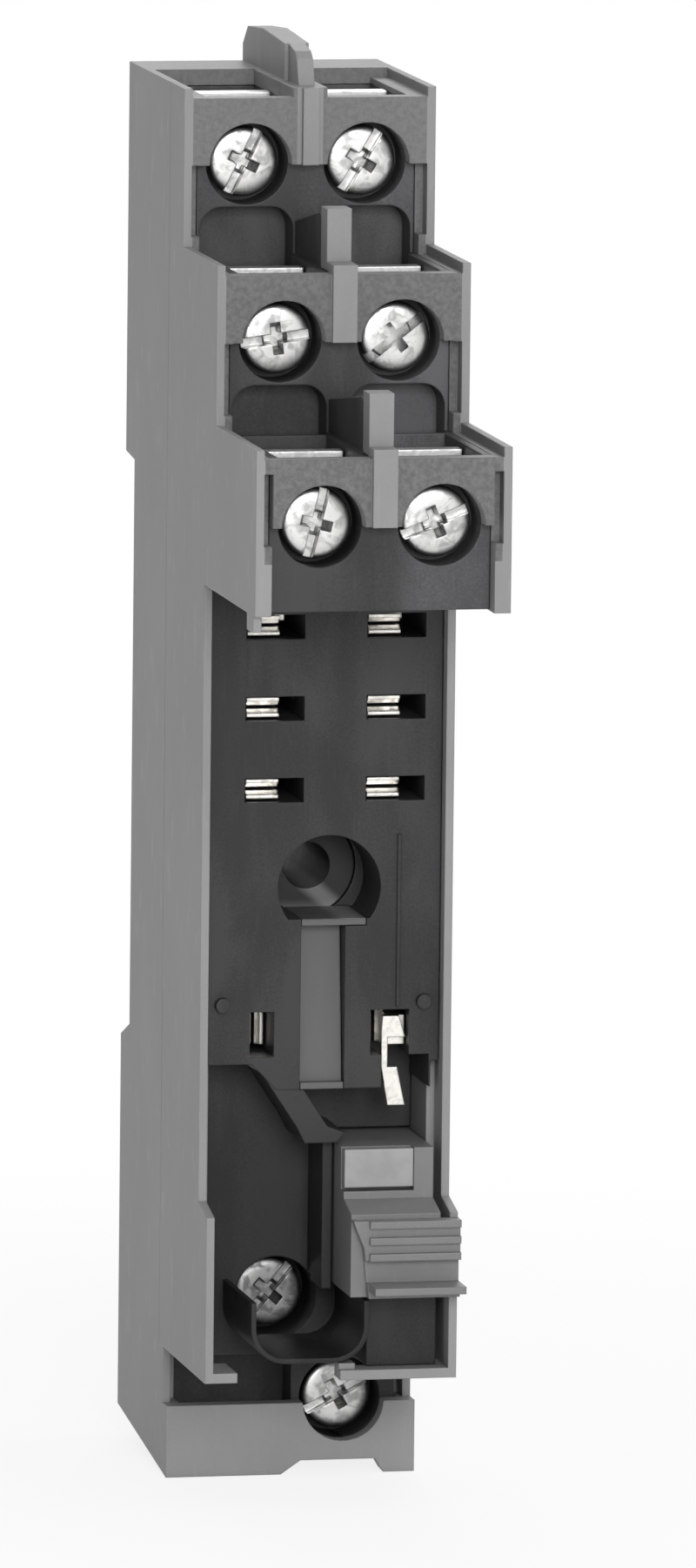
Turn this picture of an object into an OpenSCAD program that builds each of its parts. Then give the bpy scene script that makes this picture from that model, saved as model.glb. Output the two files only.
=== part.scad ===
// Narrow relay socket for a mounting rail: two changeover poles, eight box-clamp screw terminals.
// X runs across the body, -Y is the front, +Z is up. The origin lies on the back plane at the
// rail centre line. "Depth" below always means the distance forward from the back plane.

/* [Body] */
// Width over the side walls
body_w = 15.6; // [15.4:0.1:18]
// Thickness of the side walls
wall = 1.0; // [0.8:0.05:1.05]
// Thickness of the top, bottom and tier roof walls
roof_t = 1.0; // [0.8:0.1:1.2]
// Thickness of the front plates over the screws
plate_t = 1.2; // [0.9:0.1:1.4]
// Clearance between the mouldings
fit_gap = 0.05; // [0.03:0.01:0.08]
// Depth of the rear base, from the back plane to the parting line
base_depth = 13; // [12.2:0.1:13.6]

/* [Tiers] */
// Depth of the top tier's front
tier1_depth = 17.3; // [17:0.1:18.5]
// Depth of the middle tier's front
tier2_depth = 27.8; // [27.4:0.1:29]
// Depth of the lowest tier's front
tier3_depth = 40; // [39.2:0.1:43]
// Height of the top tier
tier1_h = 9.65; // [9.4:0.05:11]
// Height of the middle tier
tier2_h = 9.7; // [9.4:0.05:11]
// Height of the lowest tier
tier3_h = 10; // [9.8:0.1:12]
// Thickness of the divider fins
fin_t = 1.5; // [1.2:0.1:1.8]
// Thickness of the front end of the top fin
fin_end_t = 1.0; // [0.8:0.1:1.2]
// Rise of the fins above the two lower tiers
fin_rise = 3.2; // [2:0.1:4]
// Rise of the fin above the top face
top_fin_rise = 2.6; // [1.5:0.1:3]
// Height by which the fin's rib stands proud of the front plates
rib_proud = 0.4; // [0.2:0.1:0.8]
// Depth by which the wire side of a plate lies below the wall edges
notch_h = 0.6; // [0.3:0.1:0.7]

/* [Relay deck] */
// Depth of the side walls beside the relay
deck_wall_depth = 24.7; // [24.4:0.1:25.6]
// Depth of the relay deck below the wall edges
deck_recess = 1.0; // [0.7:0.1:1.3]
// Spacing of the contact rows
row_pitch = 5; // [4.8:0.1:5.4]
// Distance from the lowest contact row to the coil pins
coil_gap = 15; // [14.6:0.1:18]
// Spacing of the two pin columns
pin_pitch = 7.5; // [7.3:0.1:7.7]
// Deck above the top contact row
deck_margin_top = 2.8; // [2.6:0.1:4]
// Deck below the coil pins
deck_margin_bottom = 3.4; // [3.2:0.1:4]
// Width of a contact slot
slot_w = 3.65; // [3:0.05:3.8]
// Height of a contact slot
slot_h = 1.5; // [1.4:0.1:1.8]
// Sideways offset of a contact slot from its pin
slot_offset = 0.62; // [0.4:0.02:0.7]
// Thickness of the side walls' front lips
lip_t = 0.5; // [0.4:0.05:0.6]
// Width of a coil slot
coil_slot_w = 1.5; // [1.4:0.1:1.8]
// Height of a coil slot
coil_slot_h = 2.8; // [2.6:0.1:3.2]
// Width of the tongue between the coil slots
tongue_w = 2.65; // [2.2:0.05:3]
// Depth of the tongue below the deck at its upper end
tongue_deep = 1.5; // [1:0.1:2]
// Depth of the tongue below the deck at its lower end
tongue_shallow = 0.5; // [0.3:0.1:0.8]
// Height of the tongue's head and of its foot
tongue_step = 0.4; // [0.3:0.05:0.5]

/* [Mounting] */
// Height of the rail that the socket clips on
rail_h = 35; // [34.8:0.1:35.2]
// Thickness of the rail's flange
rail_t = 1.0; // [0.9:0.1:1.1]
// Depth of the rail recess
rail_depth = 2.7; // [2.6:0.05:2.8]
// Play of the rail in its recess
rail_play = 0.5; // [0.3:0.1:0.8]
// Reach of the rail hooks over the flange
hook_reach = 1.5; // [1:0.1:1.8]
// Bore for the mounting screw
mount_bore_d = 2.9; // [2.7:0.1:3.4]
// Diameter of the recess for the mounting screw's head
mount_hole_d = 6.4; // [6.3:0.1:7]
// Distance by which the head's recess lies below the bore
recess_drop = 0.6; // [0.4:0.1:0.8]
// Outer diameter of the screw boss
boss_d = 5.9; // [5.4:0.1:6]
// Depth to which the screw boss rises
boss_depth = 18.5; // [16:0.5:20]
// Height of the mounting screw below the lowest contact row
mount_drop = 5.4; // [5.3:0.1:6]

/* [Terminals] */
// Spacing of the two terminal columns
term_pitch = 7.3; // [7.2:0.05:7.35]
// Distance from a tier's top edge to its screws
screw_drop = 4.7; // [4.5:0.05:4.9]
// Diameter of the screw heads
head_d = 4.3; // [4:0.1:4.5]
// Height of the screw heads
head_h = 1.9; // [1.6:0.1:2]
// Depth of the heads below the front
head_recess = 2.2; // [1.6:0.1:2.3]
// Diameter of the screw holes
head_bore_d = 5.1; // [4.9:0.1:5.2]
// Diameter of the screw shanks
shank_d = 2.9; // [2.6:0.1:3]
// Clearance of the shank in the clamp
shank_gap = 0.05; // [0.02:0.01:0.08]
// Width of a box clamp
clamp_w = 4.6; // [4.4:0.05:4.7]
// Height of a box clamp
clamp_h = 5.2; // [5:0.1:5.4]
// Wall of a box clamp
clamp_t = 0.6; // [0.5:0.05:0.7]
// Thickness of the clamp's threaded plate
nut_t = 1.2; // [1:0.1:1.3]
// Free gap behind the current bar with the clamp open
wire_gap = 2.2; // [2:0.05:2.3]
// Travel of a clamp
clamp_travel = 1.7; // [1.3:0.1:1.75]
// Distance from the front to the current bar
bar_depth = 8.0; // [7.9:0.05:8.1]
// Height of the guard tongue above the clamp's centre
guard_rise = 3.8; // [3.6:0.05:3.9]
// Width of the guard tongue
guard_w = 5.0; // [4.6:0.1:5.1]
// Clearance beside the guard tongue
guard_gap = 0.1; // [0.1:0.05:0.15]
// Width of the arched reliefs above the wire openings
scoop_w = 5.8; // [5.4:0.1:5.8]

/* [Contacts] */
// Thickness of the contact strips
strip_t = 0.8; // [0.6:0.05:0.9]
// Width of the contact strips
strip_w = 3.0; // [2.6:0.1:3.2]
// Width of a receptacle leaf
leaf_w = 2.0; // [1.8:0.1:2.2]
// Thickness of a receptacle leaf
leaf_t = 0.3; // [0.25:0.01:0.3]
// Gap between the leaves before the relay's pin spreads them
pin_gap = 0.2; // [0.15:0.05:0.25]
// Flare of the leaves' lips
leaf_flare = 0.3; // [0.2:0.05:0.35]

/* [Coil end] */
// Depth of the side walls beside the coil pocket
coil_wall_depth = 27.3; // [27.2:0.1:28]
// Depth of the coil pocket's floor
pocket_depth = 18.1; // [18:0.1:18.6]
// Sideways place of the deep coil screw
deep_screw_x = -1.6; // [-1.7:0.05:-1.55]
// Sideways place of the low coil screw
low_screw_x = 3.3; // [3.25:0.05:3.4]
// Depth of the foot plate's front
foot_depth = 15.5; // [15.4:0.1:16]
// Height of the foot plate
foot_h = 4.45; // [4.4:0.05:5]
// Rise of the bottom face towards the back
bottom_rise = 1.9; // [0:0.1:2]

/* [Module] */
// Width of the module's case
module_w = 5.55; // [5.4:0.05:5.6]
// Height of the module
module_h = 8.8; // [8.4:0.1:9]
// Depth of the module's grip
grip_depth = 28.1; // [28:0.1:29]
// Reach of the grip's finger lip beyond the grip
lip_reach = 1.9; // [1:0.1:3]
// Number of ribs on the grip
rib_count = 4; // [3:1:5]
// Spacing of the ribs
rib_pitch = 1.0; // [0.8:0.05:1.05]
// Wall of the module's case
case_t = 0.7; // [0.6:0.05:0.8]
// Clearance around the module in its bay
module_gap = 0.15; // [0.1:0.05:0.2]
// Depth of the finger groove above the lip
lip_groove = 0.45; // [0.3:0.05:0.5]

/* [Rail clip] */
// Width of the rail clip
clip_w = 9; // [8:0.5:9.5]
// Thickness of the rail clip
clip_t = 1.85; // [1.7:0.05:1.9]
// Travel of the rail clip
clip_travel = 2.5; // [2:0.1:2.7]
// Clearance around the rail clip
clip_gap = 0.12; // [0.1:0.01:0.15]

/* [Hidden] */
$fn = 48;
small_fn = 32;
tiny = 0.01;
cut = 1;

half_w = body_w / 2;
inner_w = half_w - wall;
carrier_w = inner_w - fit_gap;

// Heights
row3_z = 0;
row2_z = row3_z + row_pitch;
row1_z = row2_z + row_pitch;
coil_z = row3_z - coil_gap;
deck_top = row1_z + deck_margin_top;
deck_bottom = coil_z - deck_margin_bottom;
tier3_top = deck_top + tier3_h;
tier2_top = tier3_top + tier2_h;
top_z = tier2_top + tier1_h;
mount_z = row3_z - mount_drop;
mount_offset = 0.35;
recess_z = mount_z - recess_drop;
recess_flat = 1.95;
recess_low = recess_z - recess_flat;

// Depths
deck_depth = deck_wall_depth - deck_recess;
shoulder_t = 1.2;
post_t = 1.8;
mid_post_setback = 1.6;
low_post_setback = 1.0;
fin_slope = 0.3;
fin_joint_z = top_z + top_fin_rise - fin_slope;
step_in = plate_t + fit_gap;
ledge_in = step_in + fit_gap;
slit_depth = 1.2;
ledge_gap = 0.3;
back_t = 0.8;
back_in = rail_depth + back_t;
upper_back_t = 1.2;
carrier_back = back_in + fit_gap;

// Coil end
module_top = deck_bottom - 3.5;
module_bottom = module_top - module_h;
module_shoulder = 0.9;
wall_step_z = module_top - 3.1;
wall_bevel = 0.6;
frame_bottom = module_bottom - 5.1;
deep_screw_z = frame_bottom + 3.6;
foot_gap = 3.5;
foot_top = frame_bottom - foot_gap;
bottom_z = foot_top - foot_h;
low_screw_z = foot_top + 0.1;
foot_wall_depth = foot_depth - plate_t - 0.15;
tray_depth = 2.5;
notch_rise = 0.85;
notch_bevel = 0.25;
bar_h = 0.6;

// Screwdriver guide on the pocket's floor
guide_t = 0.3;
guide_x = deep_screw_x + 0.4;
guide_half = 3.65;
guide_r = 2.2;
guide_low = deep_screw_z - head_d / 2 - 0.15 - guide_t;
guide_high = deep_screw_z + 1.2;

// Rib across the pocket
pocket_rib_w = 1.9;
pocket_rib_x = [-3.7, -1.5];

// Snap catches between the mouldings
catch_depths = [base_depth - 2.4, base_depth + 2.6];
catch_t = 0.5;
catch_proud = 0.25;
catch_gap = 0.15;
catch_up = 4;
catch_down = 5;

// Rail
rail_half = (rail_h + rail_play) / 2;
hook_back = rail_depth - rail_t - 0.1;
cross_wall = 1.5;
rail_lead = 0.25;
upper_hook_w = 11.2;

// Terminals: name, x, depth of the front, z, side from which the wire comes, turn of the drive
col_x = term_pitch / 2;
TERMINALS = [
    ["1_left", -col_x, tier1_depth, top_z - screw_drop, 1, 64],
    ["1_right", col_x, tier1_depth, top_z - screw_drop, 1, 58],
    ["2_left", -col_x, tier2_depth, tier2_top - screw_drop, 1, 8],
    ["2_right", col_x, tier2_depth, tier2_top - screw_drop, 1, 38],
    ["3_left", -col_x, tier3_depth, tier3_top - screw_drop, 1, 76],
    ["3_right", col_x, tier3_depth, tier3_top - screw_drop, 1, 22],
    ["coil_deep", deep_screw_x, pocket_depth, deep_screw_z, -1, 50],
    ["coil_low", low_screw_x, foot_depth, low_screw_z, -1, 28]
];
term_x = function(t) t[1];
term_face = function(t) t[2];
term_z = function(t) t[3];
term_dir = function(t) t[4];
term_turn = function(t) t[5];

// Screw drives
head_bevel = 0.25;
shank_bevel = 0.4;
drive_slot_w = 0.6;
drive_slot_deep = 0.8;
cross_w = 0.7;
cross_reach = 1.3;
cross_deep = 1.2;

// Distances behind a terminal's front
head_back = head_recess + head_h;
seat_t = head_back + fit_gap;
bar_front_gap = 0.2;
clamp_t0 = bar_depth - bar_front_gap - nut_t;
chamber_t0 = clamp_t0 - clamp_travel - bar_front_gap;
clamp_in_back = bar_depth + strip_t + wire_gap;
clamp_back_t = 0.8;
clamp_t1 = clamp_in_back + clamp_back_t;
chamber_gap = 0.15;
chamber_t1 = clamp_t1 + chamber_gap;
ledge_half = 0.4;
channel_in = 0.5;
chamber_w = clamp_w + 2 * chamber_gap;
chamber_h = clamp_h + 4 * chamber_gap;
funnel_w = guard_w + 2 * guard_gap;
funnel_low = clamp_h / 2 - fit_gap;
shank_hole_d = shank_d + 0.4;
coil_guard_rise = guard_rise - 0.5;

cell_in = col_x - chamber_w / 2;
cell_out = col_x + chamber_w / 2;

// Arched reliefs
scoop_r = 1.4;
scoop_h = 2.9;
scoop_depth = 2.3;

// Receptacles
leaf_front = deck_depth - 0.7;
coil_leaf_front = deck_depth - 2.6;
tab_side = 0.9;
tab_in = 0.45;
tab_out = 1.55;
tab_t = 0.4;
tab_half = 0.9;
tab_w = 1.05;
tab_top = coil_z - 2.25;
tab_low = deck_bottom - 1.2;
tab_depth = deck_depth - 0.6;
leaf_back = 14.6;
room_back = leaf_back - strip_t / 2;
heel_depth = leaf_back - strip_t;
bus2_depth = 12.4;
bus2_z = deck_top + 2.8;
bus3_inset = 2;
bus3_depth = leaf_front - bus3_inset;
bus3_z = deck_top + 1.6;
bus_gap = 0.6;
strip_gap = 0.15;
row_room = 1.3;
coil_room = 1.9;
run_low = deep_screw_z + chamber_h / 2 + ledge_half;

// Module
module_x1 = inner_w - module_gap + fit_gap;
module_x0 = module_x1 - module_w;
window_depth = 25.1;
bay_deep = 8.1;
bay_floor = window_depth - bay_deep;
pocket_root = pocket_depth - wall;
window_h = 2.4;
window_w = 4.3;
window_t = 1.5;
blade_t = 0.4;
blade_h = 2.2;
blade_gap = 0.25;
blade_z = module_top - 4.4;
blade_inset = 1.1;
blade_pitch = 3.1;
blade_x = [module_x0 + blade_inset, module_x0 + blade_inset + blade_pitch];
blade_reach = 6.1;
blade_end = bay_floor - blade_reach;
arm_t = 0.5;
lamp_d = 1.6;
lamp_drop = 1.9;
lamp_tip = 2.6;
lamp_length = 2.1;
part_gap = 0.3;

// Rail clip
clip_top = -rail_half + hook_reach;
clip_bottom = -40.4;
clip_back = 0.15;
clip_flange = 0.6;
clip_step = 0.4;
clip_window_w = 5.2;
clip_window_top = -26;
spring_solid = 5.7;
spring_length = spring_solid + clip_travel;
clip_stop_top = clip_window_top - spring_length;
clip_stop_h = 1.8;
clip_stop_play = 0.2;
clip_stop_gap = 0.6;
spring_t = 0.4;
spring_depth = 1.1;
spring_bends = 6;
pry_w = 3.2;
pry_h = 1.1;
clip_pocket = clip_back + clip_t + clip_gap;

// ---- Helpers ----------------------------------------------------------------

// A block given by its limits across, in depth and in height
module block(x0, x1, d0, d1, z0, z1) {
    translate([x0, -d1, z0]) cube([x1 - x0, d1 - d0, z1 - z0]);
}

// A side outline of [depth, z] points, carried across from x0 to x1
module slab(x0, x1, points) {
    translate([x0, 0, 0]) rotate([90, 0, 90])
        linear_extrude(height = x1 - x0) polygon([for (p = points) [-p[0], p[1]]]);
}

// A front outline of [x, z] points, carried forward from depth d0 to d1
module front_slab(d0, d1, points) {
    translate([0, -d0, 0]) rotate([90, 0, 0])
        linear_extrude(height = d1 - d0) polygon(points);
}

// A round bar or bore that points forward
module rod(x, z, d0, d1, d) {
    translate([x, -d0, z]) rotate([90, 0, 0]) cylinder(h = d1 - d0, d = d);
}

// Both halves of something that is the same left and right
module both_sides() {
    children();
    mirror([1, 0, 0]) children();
}

// A block behind a terminal's front: half width, distances behind the front, heights towards the wire
module term_block(t, half, t0, t1, h0, h1) {
    z0 = term_z(t) + term_dir(t) * (term_dir(t) > 0 ? h0 : h1);
    z1 = term_z(t) + term_dir(t) * (term_dir(t) > 0 ? h1 : h0);
    block(term_x(t) - half, term_x(t) + half, term_face(t) - t1, term_face(t) - t0, z0, z1);
}

// Screw hole through the front of a terminal
module head_bore(t) {
    rod(term_x(t), term_z(t), term_face(t) - seat_t, term_face(t) + cut, head_bore_d);
}

// Way in from the bottom face for the wire of the deep coil screw
module deep_wire_channel() {
    block(deep_screw_x - chamber_w / 2, deep_screw_x + chamber_w / 2 - channel_in, pocket_depth - chamber_t1,
        pocket_depth - chamber_t0 - 2 * nut_t, bottom_z - cut, deep_screw_z - chamber_h / 2 + tiny);
}

// Height of the sloping bottom face at a depth
function bottom_at(d) = bottom_z + bottom_rise * (1 - d / foot_depth);

// ---- Rear base --------------------------------------------------------------

rail_notch = [
    [-cut, rail_half + rail_lead], [0, rail_half + rail_lead], [rail_depth, rail_half],
    [rail_depth, -rail_half + rail_lead], [0, -rail_half - 3 * rail_lead], [-cut, -rail_half - 3 * rail_lead]
];

base_outline = [
    [0, bottom_at(0)], [0, top_z], [base_depth, top_z], [base_depth, frame_bottom],
    [foot_wall_depth, frame_bottom], [foot_wall_depth, foot_top], [foot_depth, foot_top],
    [foot_depth, bottom_z]
];

module base_hollow() {
    lip_z = rail_half + cross_wall;
    // Room for the carrier
    slab(-inner_w, inner_w, [
        [back_in, top_z - roof_t], [base_depth + cut, top_z - roof_t],
        [base_depth + cut, frame_bottom + tiny], [foot_depth - plate_t, frame_bottom],
        [foot_depth - plate_t, bottom_at(foot_depth - plate_t) + roof_t],
        [back_in, bottom_at(back_in) + roof_t]
    ]);
    // Front of the tray below the housing, between thin lips
    block(-inner_w, inner_w, foot_depth - plate_t - tiny, foot_depth + cut, foot_top, frame_bottom + cut);
    both_sides() block(inner_w - tiny, half_w - lip_t, foot_wall_depth - 1.5, foot_depth + cut,
        foot_top, frame_bottom + cut);
    // Thinner back wall above the rail
    block(-inner_w, inner_w, upper_back_t, back_in + tiny, lip_z, top_z - roof_t);
}

module clip_room() {
    z0 = bottom_at(0) - cut;
    z1 = -rail_half + rail_lead;
    block(-clip_w / 2 + clip_flange, clip_w / 2 - clip_flange, -cut, clip_pocket, z0, z1);
    block(-clip_w / 2 - clip_gap, clip_w / 2 + clip_gap, clip_back + clip_step, clip_pocket, z0, z1);
}

// Tongue that locates the carrier, with a head under the screw hole and a foot at the deck's edge
module tongue(gap) {
    w = tongue_w / 2 + gap;
    foot = deck_bottom + tongue_step;
    slab(-w, w, [
        [back_in - tiny - gap, recess_low], [deck_depth - tongue_deep, recess_low],
        [deck_depth - tongue_shallow, foot], [deck_depth, foot],
        [deck_depth, deck_bottom - gap], [back_in - tiny - gap, deck_bottom - gap]
    ]);
    block(-w, tongue_w + gap, boss_depth - cut, deck_depth - fit_gap,
        recess_low - tongue_step - gap, recess_low);
}

module rear_base() {
    low = TERMINALS[7];
    notch_x = low_screw_x - 0.3;
    color("#9a9b9c") difference() {
        union() {
            difference() {
                slab(-half_w, half_w, base_outline);
                base_hollow();
            }
            // Boss for the mounting screw
            rod(0, mount_z, rail_depth, boss_depth, boss_d);
            tongue(0);
            // Divider fin on the top face
            slab(-fin_t / 2, fin_t / 2, [
                [fin_slope, top_z - roof_t], [fin_slope, top_z + top_fin_rise - fin_t],
                [fin_t + fin_slope, top_z + top_fin_rise - fin_slope], [base_depth / 2, top_z + top_fin_rise],
                [base_depth, fin_joint_z], [base_depth, top_z - roof_t]
            ]);
            // Catch beads that hold the carrier
            both_sides() catch_bead(catch_depths[0]);
        }
        slab(-half_w - cut, half_w + cut, rail_notch);
        clip_room();
        rod(0, mount_z, -cut, boss_depth + cut, mount_bore_d);
        // Wire openings of the top tier
        for (t = [TERMINALS[0], TERMINALS[1]])
            term_block(t, funnel_w / 2, plate_t, chamber_t1, clamp_h / 2, screw_drop + cut);
        both_sides() wire_ledge(base_depth, tier1_depth - chamber_t1, top_z);
        // Wire openings in the bottom face, with the notch in the foot plate
        term_block(low, funnel_w / 2, plate_t, chamber_t1, 0, foot_h + cut);
        front_slab(foot_depth - 2 * plate_t, foot_depth + cut, [
            [notch_x - funnel_w / 2 - cut, bottom_z - cut], [notch_x - funnel_w / 2 - cut, bottom_z],
            [notch_x - funnel_w / 2 + notch_bevel, bottom_z + notch_rise],
            [notch_x + funnel_w / 2 - notch_bevel, bottom_z + notch_rise],
            [notch_x + funnel_w / 2 + notch_bevel, bottom_z],
            [notch_x + funnel_w / 2 + notch_bevel, bottom_z - cut]
        ]);
        deep_wire_channel();
        head_bore(low);
    }
    // Fixed upper hook with a groove for the rail's flange
    color("#9a9b9c") difference() {
        block(-upper_hook_w / 2, upper_hook_w / 2, clip_back, hook_back, rail_half - hook_reach,
            rail_half + cross_wall);
        slab(-upper_hook_w, upper_hook_w, [
            [0, rail_half - hook_reach - cut], [hook_back / 2, rail_half - hook_reach - cut],
            [0, rail_half - hook_reach / 2]
        ]);
    }
    // Stop inside the rail clip's window
    color("#9a9b9c") block(
        -clip_window_w / 2 + clip_stop_gap, clip_window_w / 2 - clip_stop_gap,
        2 * clip_back, clip_pocket + tiny,
        clip_stop_top - clip_stop_h, clip_stop_top
    );
}

// ---- Front housing ----------------------------------------------------------

housing_outline = [
    [base_depth + fit_gap, top_z], [tier1_depth, top_z], [tier1_depth, tier2_top],
    [tier2_depth, tier2_top], [tier2_depth, tier3_top], [tier3_depth, tier3_top],
    [tier3_depth, deck_top], [deck_wall_depth, deck_top], [deck_wall_depth, wall_step_z],
    [coil_wall_depth, wall_step_z - wall_bevel], [coil_wall_depth, frame_bottom],
    [base_depth + fit_gap, frame_bottom]
];

// Front plate, rib and divider post of one tier
module tier_front(face, top, rise, setback, rib_t) {
    screw_z = top - screw_drop;
    block(-half_w, half_w, face - plate_t, face, screw_z, top - notch_h);
    block(-rib_t / 2, rib_t / 2, face - plate_t, face + rib_proud, screw_z, top);
    post_z = top - notch_h + fit_gap;
    block(-fin_t / 2, fin_t / 2, face - setback - post_t, face - setback, post_z, top + rise);
    block(-fin_t / 2, fin_t / 2, face - setback - post_t, face, post_z, top);
}

// Step along the inner edge of a tier's side wall and the top of its front plate
module wire_ledge(face, back, top) {
    block(fin_t / 2 + ledge_gap, half_w - lip_t, back, face + cut, top - notch_h, top + cut);
}

// Bead on a side wall that snaps into the carrier's groove
module catch_bead(depth) {
    block(carrier_w - catch_proud, inner_w + tiny, depth, depth + catch_t,
        mount_z - catch_down, mount_z + catch_up);
}

module front_housing() {
    color("#98999a") difference() {
        union() {
            both_sides() slab(inner_w, half_w, housing_outline);
            block(-half_w, half_w, base_depth + fit_gap, tier1_depth, top_z - roof_t, top_z);
            tier_front(tier1_depth, top_z, 0, plate_t, fin_end_t);
            tier_front(tier2_depth, tier2_top, fin_rise, mid_post_setback, fin_t);
            tier_front(tier3_depth, tier3_top, fin_rise, low_post_setback, fin_t);
            // Front end of the top fin
            slab(-fin_end_t / 2, fin_end_t / 2, [
                [base_depth + fit_gap, top_z - roof_t], [base_depth + fit_gap, fin_joint_z],
                [tier1_depth - 2 * plate_t, top_z + top_fin_rise - 2 * fin_slope],
                [tier1_depth - post_t, top_z + top_fin_rise - fin_end_t],
                [tier1_depth - plate_t, top_z + tiny], [tier1_depth, top_z], [tier1_depth, top_z - roof_t]
            ]);
            // Small lip below the lowest tier's left corner
            block(-half_w, -half_w + lip_t, tier3_depth - 2 * plate_t, tier3_depth - lip_t,
                deck_top - 2 * lip_t, deck_top + tiny);
            // Lower bar with its corner, and foot of the left wall
            block(bar_h, half_w, coil_wall_depth - post_t, coil_wall_depth, frame_bottom, frame_bottom + bar_h);
            block(bar_h, bar_h + wall, coil_wall_depth - post_t, coil_wall_depth - lip_t,
                frame_bottom, guide_low - fit_gap);
            block(-half_w, -inner_w + wall, coil_wall_depth - 2 * post_t, coil_wall_depth,
                frame_bottom, frame_bottom + bar_h);
            // Catch beads that hold the carrier
            both_sides() catch_bead(catch_depths[1]);
        }
        for (t = [for (i = [0:5]) TERMINALS[i]]) {
            head_bore(t);
            term_block(t, funnel_w / 2, plate_t, chamber_t1, clamp_h / 2, screw_drop + cut);
        }
        both_sides() {
            // Lowered ledges along the wire openings
            wire_ledge(tier1_depth, base_depth, top_z);
            wire_ledge(tier2_depth, tier1_depth, tier2_top);
            wire_ledge(tier3_depth, tier2_depth, tier3_top);
            // Narrow gaps between the walls and the carrier's fronts
            for (f = [[tier1_depth, tier2_top], [tier2_depth, tier3_top], [tier3_depth, deck_top + 2 * post_t]])
                block(carrier_w, half_w - lip_t, f[0] - slit_depth, f[0] + cut,
                    f[1] + bar_h, f[1] + tier1_h - screw_drop);
            // Thin lips in front of the carrier's deck
            block(carrier_w, half_w - lip_t, deck_depth - shoulder_t - fit_gap, coil_wall_depth + cut,
                frame_bottom + bar_h, deck_top - notch_bevel);
        }
    }
}

// ---- Contact carrier --------------------------------------------------------

carrier_outline = [
    [carrier_back, top_z - roof_t - fit_gap],
    [tier1_depth - step_in, top_z - roof_t - fit_gap],
    [tier1_depth - step_in, tier2_top - notch_h],
    [tier2_depth - step_in, tier2_top - notch_h],
    [tier2_depth - step_in, tier3_top - notch_h],
    [tier3_depth - step_in, tier3_top - notch_h],
    [tier3_depth - step_in, deck_top + 2 * fit_gap],
    [deck_depth, deck_top + 2 * fit_gap],
    [deck_depth, deck_bottom],
    [pocket_depth, deck_bottom],
    [pocket_depth, frame_bottom + 2 * fit_gap],
    [foot_depth - step_in, frame_bottom + 2 * fit_gap],
    [foot_depth - step_in, bottom_at(foot_depth - step_in) + roof_t + fit_gap],
    [carrier_back, bottom_at(carrier_back) + roof_t + fit_gap]
];

// Everything that is open behind the deck for the strips and clamps of both columns
module column_rooms() {
    x0 = cell_in;
    x1 = cell_out;
    row_x = pin_pitch / 2;
    half = strip_w / 2 + strip_gap;
    both_sides() {
        block(x0, x1, carrier_back - cut, room_back, row3_z - row_room, bus2_z + strip_t);
        block(x0, x1, carrier_back - cut, tier1_depth - chamber_t0, bus2_z, top_z - screw_drop + chamber_h / 2);
        block(x0, x1, min(room_back - strip_gap, tier2_depth - chamber_t1), tier2_depth - chamber_t0,
            bus3_z - bus_gap, tier2_top - screw_drop + chamber_h / 2);
        block(x0, x1, tier2_depth - chamber_t0 - tiny, tier3_depth - chamber_t0, bus3_z - bus_gap,
            tier3_top - screw_drop + chamber_h / 2);
        block(x0, x1, carrier_back - cut, room_back, run_low, coil_z + coil_room);
        // Way down for the lowest tier's strips to the top row
        block(row_x - half, row_x + half, room_back - strip_gap, bus3_depth + bus_gap,
            row1_z - strip_t, bus3_z);
    }
}

// Ledges under a clamp that leave room for its strip
module ledge(t) {
    x = chamber_w / 2 - 2 * chamber_gap;
    z = term_z(t) - chamber_h / 2 - ledge_half;
    for (s = [-1, 1])
        block(term_x(t) + s * x - ledge_half, term_x(t) + s * x + ledge_half, term_face(t) - chamber_t1,
            term_face(t) - chamber_t0 + tiny, z - ledge_half, z + ledge_half);
}

// Rooms of the two coil terminals
module coil_rooms() {
    deep = TERMINALS[6];
    low = TERMINALS[7];
    half = strip_w / 2 + blade_gap;
    term_block(deep, chamber_w / 2, chamber_t0, chamber_t1, -chamber_h / 2, chamber_h / 2);
    term_block(low, chamber_w / 2, chamber_t0, chamber_t1, -chamber_h / 2, chamber_h / 2);
    // The room's way up to the strip's run, and the wire's way in from the bottom
    block(-cell_out, deep_screw_x + half, carrier_back - cut, room_back,
        deep_screw_z + chamber_h / 2 - tiny, blade_z);
    deep_wire_channel();
    term_block(deep, funnel_w / 2, chamber_t0, clamp_t0 + nut_t + chamber_gap, funnel_low, guard_rise);
    term_block(low, funnel_w / 2, ledge_in, chamber_t1, funnel_low, foot_h);
    block(low_screw_x - half, low_screw_x + half, carrier_back - cut, foot_depth - bar_depth + strip_t,
        low_screw_z + chamber_h / 2 - tiny, run_low + tiny);
    block(low_screw_x - chamber_w / 2, low_screw_x + chamber_w / 2, carrier_back - cut,
        foot_depth - chamber_t1 + tiny, low_screw_z - chamber_h / 2, low_screw_z + chamber_h / 2);
}

// Slots in the relay deck
module deck_slots() {
    for (s = [-1, 1]) {
        x = s * pin_pitch / 2;
        for (z = [row1_z, row2_z, row3_z]) {
            block(x + slot_offset - slot_w / 2, x + slot_offset + slot_w / 2,
                room_back - strip_gap, deck_depth + cut, z - slot_h / 2, z + slot_h / 2);
        }
        block(x - coil_slot_w / 2, x + coil_slot_w / 2 + (s > 0 ? tab_side : 0), room_back - strip_gap,
            deck_depth + cut, coil_z - coil_slot_h / 2, coil_z + coil_slot_h / 2);
    }
    // Window that shows the right coil strip's tab
    block(pin_pitch / 2 - fit_gap, inner_w - strip_gap, pocket_depth, deck_depth + cut,
        deck_bottom - cut, coil_z - coil_slot_h / 2 + tiny);
}

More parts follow.
